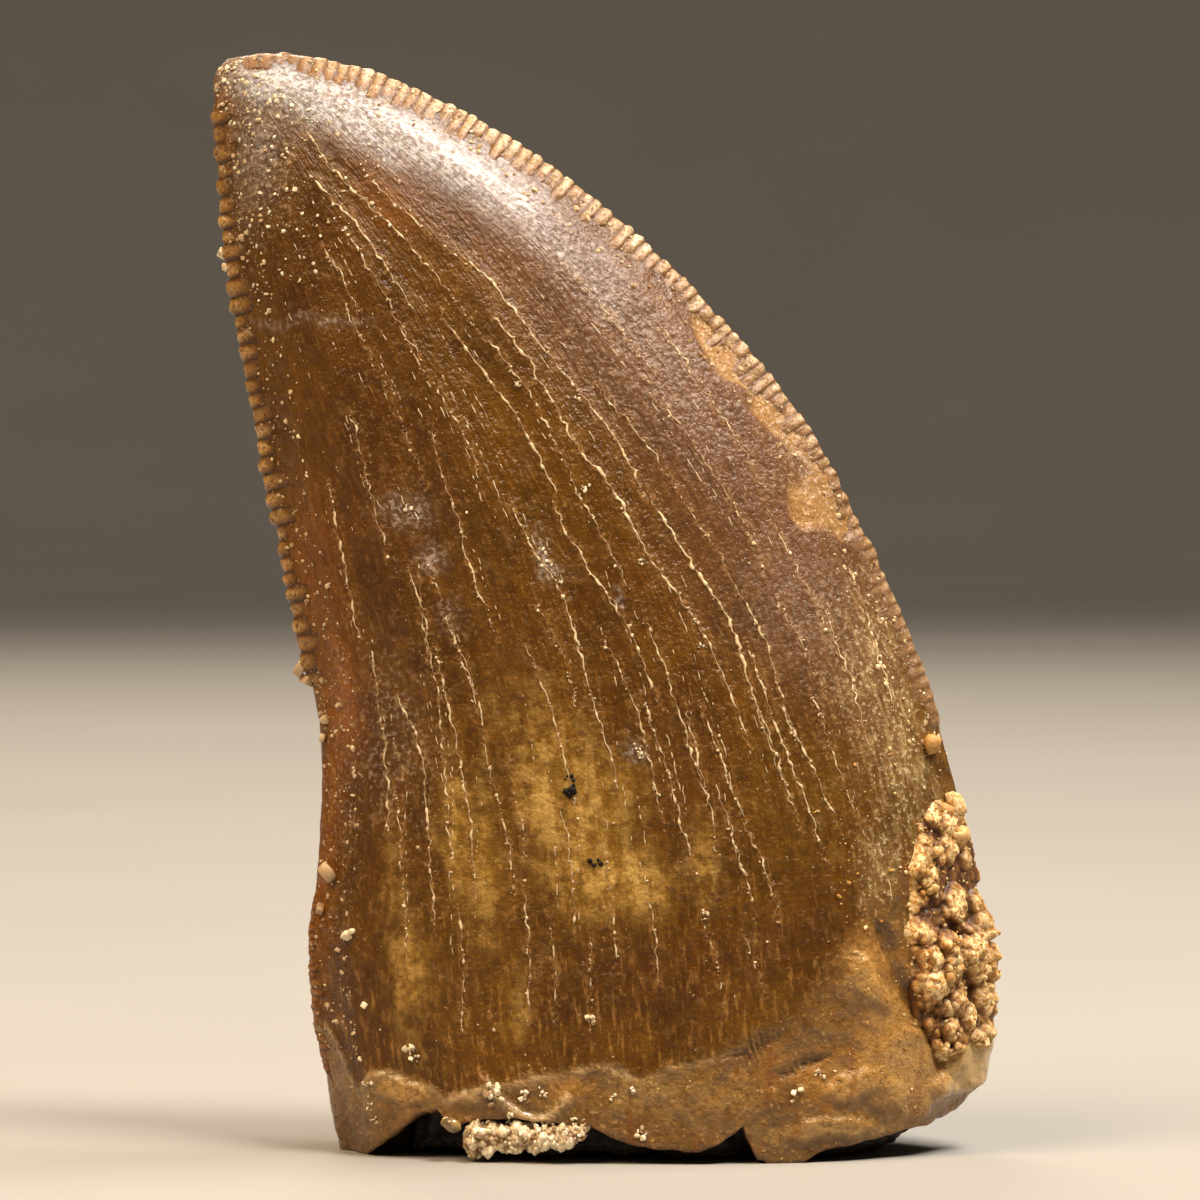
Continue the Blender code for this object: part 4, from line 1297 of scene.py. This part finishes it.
tan_grains = set_grains(
    "stray_tan_grains", "tan", 0.55, 103, "sandy_matrix", squareness=(0.6, 1.0), dent=0.9,
)
cream_grains = set_grains(
    "stray_cream_grains", "cream", 0.7, 104, "cream_grains", cluster=7, grid=COARSE,
    squareness=(0.3, 0.8), dent=0.8, stretch=(0.35, 1.4), tones=(0.3, 1.1),
)
crystals_edge = set_grains(
    "steep_edge_crystals", "crystal", 0.55, 111, "cream_grains", squareness=(0.15, 0.4), dent=0.25,
    tones=(0.35, 0.8),
)
clear_bead = set_grains(
    "notch_beads", "bead", 0.5, 110, "cream_grains", squareness=(0.9, 1.0), dent=0.05,
)
black_specks = set_grains(
    "black_specks", "black", 0.85, 105, "dark_infill", squareness=(0.6, 1.0), dent=0.3,
)

# %% [markdown]
# ## Clouds of crumbs
# Crumbs gather where something holds them: between the serrations, along the cracks and
# under the tip. A fine dust lies everywhere, thicker near the base and the tip. Each
# cloud is drawn by chance in the crown's own coordinates and read off the finished skin.

# %% Grit packed between the serrations
EDGE_GRIT = 2000
random = np.random.default_rng(SEED + 120)
grit_distal = random.uniform(size=EDGE_GRIT) < 0.55
grit_u = np.where(grit_distal, random.uniform(0.08, 0.97, EDGE_GRIT), random.uniform(0.25, 0.98, EDGE_GRIT))
grit_mm = 0.10 + 1.1 * random.uniform(0, 1, EDGE_GRIT) ** 1.3
grit_share = grit_mm / np.maximum(edges_at(grit_u)[-1], 1.0)
grit_v = angle_of(np.where(grit_distal, grit_share, 1 - grit_share))
grit_v = np.where(random.uniform(size=EDGE_GRIT) < 0.4, 2 * math.pi - grit_v, grit_v)
grit_point, grit_normal = on_skin(grit_u, grit_v)
grit_size = 0.018 + 0.06 * random.uniform(0, 1, EDGE_GRIT) ** 2
edge_grit = crumb_cloud(
    "edge_grit", grit_point, grit_normal, grit_size, 0.1, 108, "cream_grains",
    squareness=(0.3, 0.9), dent=0.8, stretch=(0.3, 1.3), tones=(0.2, 1.2),
)

# %% Flecks along the cracks
FLECKS = 1800
random = np.random.default_rng(SEED + 130)
path_points = np.concatenate([point for point, normal in front_paths])
path_normals = np.concatenate([normal for point, normal in front_paths])
pick = random.integers(0, len(path_points), FLECKS)
fleck_size = 0.010 + 0.034 * random.uniform(0, 1, FLECKS) ** 2
fleck_at = path_points[pick] + random.normal(0, 0.03, (FLECKS, 3)) * [1, 0.1, 1.6]
flecks = crumb_cloud(
    "crack_flecks", fleck_at, path_normals[pick], fleck_size, 0.2, 109, "cream_grains",
    squareness=(0.3, 0.8), dent=0.8, stretch=(0.3, 1.3), tones=(0.2, 1.2),
)

# %% Crumbs under the tip
CRUMBS = 430
random = np.random.default_rng(SEED + 140)
crumb_u = 0.985 - 0.22 * random.uniform(0, 1, CRUMBS) ** 1.4
crumb_v = angle_of(0.06 + 0.62 * random.uniform(0, 1, CRUMBS) ** 1.3)
crumb_point, crumb_normal = on_skin(crumb_u, crumb_v)
crumb_size = 0.018 + 0.055 * random.uniform(0, 1, CRUMBS) ** 2
crumbs_piece = crumb_cloud(
    "tip_crumbs", crumb_point, crumb_normal, crumb_size, 0.05, 112, "cream_grains",
    squareness=(0.3, 0.9), dent=0.9, stretch=(0.25, 1.3), tones=(0.4, 1.3),
)

# %% Sand dust
DUST = 1500
random = np.random.default_rng(SEED + 110)
dust_part = random.uniform(size=DUST)
dust_u = np.where(dust_part < 0.3, random.uniform(0.03, 0.25, DUST), random.uniform(0.25, 0.985, DUST))
dust_u = np.where(dust_part > 0.75, random.uniform(0.84, 0.985, DUST), dust_u)
dust_v = random.uniform(0.12, 2 * math.pi - 0.12, DUST)
dust_point, dust_normal = on_skin(dust_u, dust_v)
dust_size = 0.010 + 0.032 * random.uniform(0, 1, DUST) ** 3
dust = crumb_cloud(
    "sand_dust", dust_point, dust_normal, dust_size, 0.1, 106, "cream_grains",
    squareness=(0.3, 0.8), dent=0.8, stretch=(0.3, 1.3),
)

# %% [markdown]
# # Finishes
# A finish starts from what the stuff is. One function turns a hex colour, as a paint
# program shows it, into the linear numbers that the shader needs, and one adds a node
# with its settings and its links. A colour is then built as a restorer tints a cast:
# layer after layer, each thin, and each broken up by a noise with grains of a real size.

# %% Node helpers


def linear(colour):
    """sRGB hex to linear RGBA: c/12.92 below 0.04045, else ((c + 0.055)/1.055)^2.4."""
    c = np.array([int(colour[k:k + 2], 16) for k in (1, 3, 5)]) / 255
    c = np.where(c <= 0.04045, c / 12.92, ((c + 0.055) / 1.055) ** 2.4)
    return (*c.tolist(), 1.0)


def add_node(tree, kind, inputs=None, **settings):
    """A node with its settings; an input that is a socket is linked, any other is set."""
    made = tree.nodes.new("ShaderNode" + kind)
    for label, value in settings.items():
        setattr(made, label, value)
    for label, value in (inputs or {}).items():
        if isinstance(value, bpy.types.NodeSocket):
            tree.links.new(value, made.inputs[label])
        else:
            made.inputs[label].default_value = value
    return made


def new_finish(name, **sockets):
    """A material with a Principled shader whose even values are set on its sockets."""
    finish = bpy.data.materials.new(name)
    finish.use_nodes = True
    shader = finish.node_tree.nodes["Principled BSDF"]
    for label, value in sockets.items():
        shader.inputs[label.replace("_", " ")].default_value = value
    return finish, finish.node_tree, shader


print("amber brown as linear:", np.round(linear("#7a4716"), 3))

# %% [markdown]
# A layer of colour is never even. Its share at a place is a product of parts: a mask that
# the mesh carries, and noises or heights that are brought from one range into another.
# The same product gives the roughness, so colour, gloss and relief share their patterns.

# %% Layers of a finish
MIX_FACTOR, MIX_A, MIX_B, MIX_COLOUR = 0, 6, 7, 2


def grain_patterns(tree, *grains):
    """Noises on the piece's own place, one for each (grain in mm, detail, roughness)."""
    place = add_node(tree, "TexCoord").outputs["Object"]
    made = []
    for grain, detail, roughness in grains:
        settings = {"Vector": place, "Scale": 1 / (grain * MM), "Detail": detail, "Roughness": roughness}
        made.append(add_node(tree, "TexNoise", settings).outputs["Fac"])
    return made


def share_of(tree, *parts):
    """The product of parts (what, low, high, at_low, at_high): a socket, or the name of a
    value on the mesh, eased from low..high to at_low..at_high, or to 0..1 if those are left
    out. A part without a range is taken as it is."""
    share = None
    for part in parts:
        what, *span = part if isinstance(part, tuple) else (part,)
        if isinstance(what, str):
            what = add_node(tree, "Attribute", attribute_name=what).outputs["Fac"]
        if span:
            low, high, at_low, at_high = (*span, 0.0, 1.0)[:4]
            ranges = {"Value": what, "From Min": low, "From Max": high, "To Min": at_low, "To Max": at_high}
            what = add_node(tree, "MapRange", ranges, interpolation_type="SMOOTHSTEP").outputs["Result"]
        if share is not None:
            what = add_node(tree, "Math", {0: share, 1: what}, operation="MULTIPLY").outputs[0]
        share = what
    return share


def layered(tree, colour, *layers):
    """The colour after layers (tint, part, part ...): it turns to each tint by the share."""
    for tint, *parts in layers:
        first, second = (linear(c) if isinstance(c, str) else c for c in (colour, tint))
        inputs = {MIX_FACTOR: share_of(tree, *parts), MIX_A: first, MIX_B: second}
        colour = add_node(tree, "Mix", inputs, data_type="RGBA").outputs[MIX_COLOUR]
    return colour


def weighted_sum(tree, value, *terms):
    """The value plus each term (what, weight), a socket or the name of a value on the mesh."""
    for what, weight in terms:
        if isinstance(what, str):
            what = add_node(tree, "Attribute", attribute_name=what).outputs["Fac"]
        sums = {0: what, 1: weight, 2: value}
        value = add_node(tree, "Math", sums, operation="MULTIPLY_ADD").outputs[0]
    return value


def finish_off(tree, shader, colour, roughness, relief=None, strength=0.0, depth_mm=0.0):
    """Link a finish: its colour, its roughness and, as a bump, its finest relief."""
    tree.links.new(colour, shader.inputs["Base Color"])
    tree.links.new(roughness, shader.inputs["Roughness"])
    if relief is not None:
        bump = add_node(tree, "Bump", {"Height": relief, "Strength": strength, "Distance": depth_mm * MM})
        tree.links.new(bump.outputs["Normal"], shader.inputs["Normal"])


# %% [markdown]
# ## Enamel
# Fossil enamel is apatite stained by iron: amber where it is thick, golden over pale
# dentine. Light enters it and comes back warmer, so it has subsurface scattering with a
# long red and a short blue path, and a thin natural polish on top, which is the coat.
# The masks in the mesh say where each colour goes, and noise at real sizes breaks each.

# %% Enamel patterns
enamel, tree, shader = new_finish(
    "iron_stained_apatite_enamel",
    IOR=1.6,
    Specular_IOR_Level=0.17,
    Coat_Roughness=0.12,
    Coat_IOR=1.5,
    Subsurface_Weight=0.25,
    Subsurface_Radius=(1.0, 0.42, 0.14),
    Subsurface_Scale=0.0007,
)
clouds, mottle, speckle = grain_patterns(tree, (2.2, 4.0, 0.55), (0.45, 4.0, 0.6), (0.14, 2.0, 0.6))
flow_at = add_node(tree, "Attribute", attribute_name="flow").outputs["Vector"]
stretched = []
for scale, detail, roughness in (((2.2, 0.25, 1.0), 4.0, 0.65), ((7.0, 1.3, 1.0), 3.0, 0.6)):
    drawn_out = add_node(tree, "Mapping", {"Vector": flow_at, "Scale": scale}).outputs["Vector"]
    settings = {"Vector": drawn_out, "Scale": 1.0, "Detail": detail, "Roughness": roughness}
    stretched.append(add_node(tree, "TexNoise", settings).outputs["Fac"])
streaks, fibres = stretched
gold_noise = add_node(tree, "Math", {0: streaks, 1: mottle}, operation="ADD").outputs[0]

# %% Enamel colours
colour = layered(
    tree, "#4b2c04",
    ("#633e07", (clouds, 0.35, 0.65)),
    ("#78540f", (mottle, 0.35, 0.65, 0.0, 0.34)),
    ("#6b4a12", "olive", (mottle, 0.3, 0.6, 0.4, 0.9)),
    ("#73503a", "purple", (clouds, 0.2, 0.6, 0.7, 1.0)),
    ("#8f7045", "sage", (mottle, 0.3, 0.7, 0.5, 0.95)),
    ("#9c5c18", "orange", (mottle, 0.2, 0.7, 0.5, 1.0)),
    ("#4d2a10", "dark", (clouds, 0.3, 0.7, 0.9, 0.6)),
    ("#a67e34", "golden", (gold_noise, 0.80, 1.08, 0.45, 0.95)),
    ("#3a1d04", (streaks, 0.3, 0.75, 0.0, 0.35)),
    ("#331a04", (fibres, 0.30, 0.50, 0.34, 0.0)),
    ("#a8793d", (fibres, 0.55, 0.72, 0.0, 0.24)),
    ("#b08a58", (speckle, 0.62, 0.74, 0.0, 0.28)),
    ("#2e1a04", (speckle, 0.28, 0.40, 0.22, 0.0)),
    ("#a87c40", "low", (fibres, 0.52, 0.66, 0.0, 0.32)),
    ("#b98c55", "beside_crack", (speckle, 0.45, 0.65, 0.0, 0.35)),
    ("#c9a578", "pit", (speckle, 0.3, 0.6, 0.2, 0.6)),
    ("#4f3722", "pit", (mottle, 0.48, 0.60, 0.0, 0.8)),
    ("#b8a171", "sage", (fibres, 0.50, 0.60, 0.0, 0.5)),
    ("#cdbb92", "sage", (speckle, 0.56, 0.64, 0.0, 0.75)),
    ("#bfa47e", "pitted", (speckle, 0.56, 0.66, 0.0, 0.5)),
    ("#c29e5a", "golden", (gold_noise, 0.92, 1.20, 0.0, 0.8)),
    ("#997040", "chip", (mottle, 0.3, 0.5, 0.75, 0.95)),
    ("#cdb08a", "chip", (speckle, 0.56, 0.66, 0.0, 0.6)),
    ("#a3968c", "ash", (speckle, 0.46, 0.62, 0.10, 0.85)),
    # The pale grey of the frost patches is partly frosted enamel and partly painted sheen.
    ("#c4c2c4", "frost_and_sheen", (speckle, 0.38, 0.60, 0.35, 0.95)),
)

# %% Root colours in the same shader
wax = layered(
    tree, "#62451f",
    ("#82602f", (mottle, 0.3, 0.65)),
    ("#573a1a", (clouds, 0.35, 0.6, 0.0, 0.6)),
    ("#b5813c", "tan", (mottle, 0.25, 0.7, 0.6, 1.0)),
    ("#ad8a52", "plate", (mottle, 0.30, 0.65, 0.35, 0.85)),
    ("#4f3318", "crease", (mottle, 0.30, 0.60, 0.4, 0.9)),
    ("#cbb083", "lip", (mottle, 0.35, 0.65, 0.3, 0.85)),
    ("#c2a26a", "flake", (mottle, 0.3, 0.6, 0.6, 1.0)),
    ("#7a4418", (streaks, 0.52, 0.70, 0.0, 0.55)),
    ("#4a2c10", (speckle, 0.30, 0.45, 0.5, 0.0)),
    ("#c49c62", (speckle, 0.58, 0.72, 0.0, 0.45)),
)
# The broken base and the cavity turn dark brown: partly broken dentine, partly painted shade.
colour = layered(tree, colour, (wax, "root"), ("#2c1c0f", "broken"))

# %% Enamel gloss and relief
dull = share_of(tree, (mottle, 0.3, 0.7, 0.20, 0.32))
dull = weighted_sum(tree, dull, ("root", -0.02), ("frost_and_sheen", -0.06), ("broken", 0.4))
shine = weighted_sum(tree, 0.05, ("root", 0.40), ("frost_and_sheen", 0.35))
tree.links.new(shine, shader.inputs["Coat Weight"])
fibre_height = share_of(tree, fibres, ("root", 0.0, 1.0, 0.7, 0.0))
relief_height = weighted_sum(tree, fibre_height, (mottle, 1.0), (speckle, 0.8))
finish_off(tree, shader, colour, dull, relief_height, 0.9, 0.08)
tooth.data.materials.append(enamel)

# %% [markdown]
# The serrations are the same enamel, but worn, dusted and so thin that light goes right
# through. They read as glassy tan beads with pale tops, so they get more scattering and a
# colour that rises with the height of each rib: dark in the grooves, which is painted
# shade, and pale on the crests, partly dust and partly painted light.

# %% Serration finish
for name, piece, deep, pale, top in (
    ("glassy_distal_bead_enamel", distal_saw, "#472a0b", "#7a531f", "#c6a26a"),
    ("tan_mesial_chisel_enamel", mesial_saw, "#674728", "#96724c", "#dccaa6"),
    ("orange_lower_bead_enamel", lower_saw, "#55300c", "#7a4a17", "#a07038"),
):
    bead, tree, shader = new_finish(
        name, IOR=1.6, Specular_IOR_Level=0.22, Coat_Weight=0.1, Coat_Roughness=0.2, Coat_IOR=1.5,
        Subsurface_Weight=0.3, Subsurface_Radius=(1.0, 0.5, 0.2), Subsurface_Scale=0.0005,
    )
    mottle, crumbs = grain_patterns(tree, (0.25, 3.0, 0.6), (0.11, 2.0, 0.6))
    dusted = (crumbs, 0.38, 0.56, 0.15, 1.0)
    # By the height of each rib: the deep colour left in the grooves is painted shade, the pale and top
    # colours on the crests partly dust and partly painted light.
    colour = layered(
        tree, deep,
        (pale, ("height", 0.15, 0.7)),
        (top, ("height", 0.45, 0.95), ("tone", 0.0, 0.9, 0.4, 1.0), dusted),
        (deep, (mottle, 0.5, 0.75, 0.0, 0.6)),
        (deep, (crumbs, 0.28, 0.42, 0.7, 0.0)),
    )
    dull = share_of(tree, (mottle, 0.3, 0.7, 0.28, 0.5))
    finish_off(tree, shader, colour, dull, weighted_sum(tree, mottle, (crumbs, 0.7)), 0.8, 0.08)
    piece.data.materials.append(bead)

# %% [markdown]
# ## Minerals
# Calcite threads and grains are cream and a little waxy. The crust is sandstone: yellow
# tan, cream on the rubbed tops and dark brown in the hollows between its knobs, which is
# painted shade, with a sugary grain. The infill is the same rock stained dark; part of
# that darkness, and more between its lumps, is painted shade. The black specks are iron
# oxide, nearly without gloss.

# %% Calcite finishes
thread_pieces = (front_threads, back_threads, hair_threads, edge_grit, flecks, dust)
white_pieces = (strip, strip_grains, cream_grains, crystals_edge, crumbs_piece)
for name, pieces, low, high, stain in (
    ("cream_calcite", thread_pieces, "#7d5528", "#dcc094", "#a97c48"),
    ("crumbly_white_calcite", white_pieces, "#9a7038", "#f0dfbd", "#a27a42"),
):
    calcite, tree, shader = new_finish(
        name, IOR=1.56, Coat_Weight=0.25, Coat_Roughness=0.25,
        Subsurface_Weight=0.25, Subsurface_Radius=(1.0, 0.7, 0.4), Subsurface_Scale=0.0003,
    )
    (mottle,) = grain_patterns(tree, (0.3, 3.0, 0.6))
    colour = layered(tree, low, (high, ("tone", 0.1, 0.95)), (stain, (mottle, 0.5, 0.72, 0.0, 0.6)))
    finish_off(tree, shader, colour, share_of(tree, (mottle, 0.3, 0.7, 0.4, 0.65)), mottle, 0.5, 0.03)
    for piece in pieces:
        piece.data.materials.append(calcite)

# %% Clear calcite finish
amber_bead, tree, shader = new_finish(
    "clear_calcite_bead", IOR=1.56, Coat_Weight=0.8, Coat_Roughness=0.08,
    Subsurface_Weight=0.6, Subsurface_Radius=(1.0, 0.7, 0.4), Subsurface_Scale=0.0006,
)
(mottle,) = grain_patterns(tree, (0.3, 3.0, 0.6))
colour = layered(tree, "#665030", ("#a08654", (mottle, 0.35, 0.65)))
finish_off(tree, shader, colour, share_of(tree, (mottle, 0.3, 0.7, 0.12, 0.25)))
clear_bead.data.materials.append(amber_bead)

# %% Sandstone finishes
# hollow is the colour where the mark is low: on the crust bed and the infill that is the hollows between
# knobs and lumps, painted shade; on the crystals and grains it is only a darker tone.
for name, pieces, hollow, body, top, mark in (
    ("sandy_crust_bed_stone", (crust,), "#4f2b08", "#b27c30", "#ead09c", "tops"),
    ("amber_crystal_stone", (crystals, loose, tan_grains), "#9a6824", "#c2914a", "#e8d2a4", "tone"),
    ("dark_infill_stone", (infill,), "#1c120a", "#3b2b18", "#66532f", "tops"),
):
    stone, tree, shader = new_finish(
        name, IOR=1.54, Specular_IOR_Level=0.35, Coat_Weight=0.12, Coat_Roughness=0.2,
        Subsurface_Weight=0.3, Subsurface_Radius=(1.0, 0.6, 0.25), Subsurface_Scale=0.0005,
    )
    mottle, sugar = grain_patterns(tree, (0.4, 4.0, 0.6), (0.10, 2.0, 0.6))
    colour = layered(
        tree, hollow,
        (body, (mark, 0.1, 0.9)),
        (top, (mark, 0.38, 0.95), (sugar, 0.40, 0.56)),
        (hollow, (mottle, 0.5, 0.7, 0.0, 0.6)),
    )
    dull = share_of(tree, (mottle, 0.3, 0.7, 0.5, 0.8))
    finish_off(tree, shader, colour, dull, weighted_sum(tree, mottle, (sugar, 0.5)), 0.7, 0.06)
    for piece in pieces:
        piece.data.materials.append(stone)

# %% Iron oxide finish
oxide, tree, shader = new_finish("black_iron_oxide", IOR=1.6, Specular_IOR_Level=0.15)
(grain,) = grain_patterns(tree, (0.08, 2.0, 0.6))
colour = layered(tree, "#060403", ("#15100d", (grain, 0.4, 0.7)))
finish_off(tree, shader, colour, share_of(tree, (grain, 0.3, 0.7, 0.4, 0.7)))
black_specks.data.materials.append(oxide)

# %% [markdown]
# # Stage, light and camera
# A pale studio sweep has no corner: a floor that curves up into a wall all round, made
# by turning one profile. Two big soft lights from the upper right give the sheen along
# the bowed side, a warm one from the left opens the shadows, and a weak one from behind
# lets the thin edges glow.

# %% Studio sweep
FLOOR_RADIUS = 600.0
SWEEP_RADIUS = 350.0
WALL_HEIGHT = 500.0
FLOOR_RINGS = 20
bend = np.linspace(0, math.pi / 2, 24)[1:]
profile = np.concatenate([
    np.column_stack([np.linspace(0.5, FLOOR_RADIUS, FLOOR_RINGS), np.zeros(FLOOR_RINGS)]),
    np.column_stack([FLOOR_RADIUS + SWEEP_RADIUS * np.sin(bend), SWEEP_RADIUS * (1 - np.cos(bend))]),
    [[FLOOR_RADIUS + SWEEP_RADIUS, WALL_HEIGHT]],
])
spin = np.linspace(0, 2 * math.pi, 96, endpoint=False)
radius, up = profile[:, None, 0], profile[:, None, 1]
sweep = np.stack([radius * np.cos(spin), radius * np.sin(spin), up + 0 * spin], axis=-1)
sweep_triangles = loft_triangles(len(profile), len(spin))[:-len(spin)]
floor = new_piece("studio_sweep", with_poles(sweep), sweep_triangles)
paper, tree, shader = new_finish("pale_studio_paper", Roughness=0.85)
(tone,) = grain_patterns(tree, (40.0, 2.0, 0.55))
tree.links.new(layered(tree, "#8b8883", ("#93908b", tone)), shader.inputs["Base Color"])
floor.data.materials.append(paper)

# %% Lights
AIM = (0.0, 0.0, 14.0)
AIR_STRENGTH = 0.07


def softbox(name, place, size, power, colour):
    """A square area light, turned to face the tooth; place and size in millimetres."""
    light = bpy.data.lights.new(name, "AREA")
    light.shape = "SQUARE"
    light.size = size * MM
    light.energy = power
    light.color = linear(colour)[:3]
    made = bpy.data.objects.new(name, light)
    made.location = [c * MM for c in place]
    x, y, z = np.array(AIM) - np.array(place)
    made.rotation_euler = (math.atan2(math.hypot(x, y), -z), 0, math.atan2(y, x) - math.pi / 2)
    bpy.context.scene.collection.objects.link(made)
    return made


softbox("key_softbox", (150, -125, 380), 130, 2.5, "#fff6ea")
softbox("edge_softbox", (190, 45, 370), 170, 1.5, "#fff8f0")
softbox("left_softbox", (-205, -165, 350), 200, 2.1, "#ffdfb4")
softbox("rim_softbox", (-60, 330, 260), 160, 0.8, "#fff0dc")
world = bpy.data.worlds.new("studio_air")
world.use_nodes = True
air = world.node_tree.nodes["Background"]
air.inputs["Color"].default_value = linear("#f2e4cf")
air.inputs["Strength"].default_value = AIR_STRENGTH
bpy.context.scene.world = world

# %% Camera
FRAME_WIDTH = PHOTO_WIDTH * PIXEL
LENS = 200.0
SENSOR = 36.0
ELEVATION = math.radians(1.5)
camera = bpy.data.cameras.new("photo_view")
camera.lens = LENS
camera.sensor_width = SENSOR
camera.clip_start = 0.005
camera.clip_end = 10.0
view = bpy.data.objects.new("photo_view", camera)
bpy.context.scene.collection.objects.link(view)
target_x, target_z = from_photo([(PHOTO_WIDTH / 2, PHOTO_WIDTH / 2)])[0]
distance = FRAME_WIDTH * LENS / SENSOR
back, rise = distance * math.cos(ELEVATION), distance * math.sin(ELEVATION)
view.location = (target_x * MM, -back * MM, (target_z + rise) * MM)
view.rotation_euler = (math.pi / 2 - ELEVATION, 0, 0)
bpy.context.scene.camera = view
bpy.context.scene.view_settings.view_transform = "Standard"
print(f"camera {distance:.0f} mm away, frame {FRAME_WIDTH:.1f} mm wide")
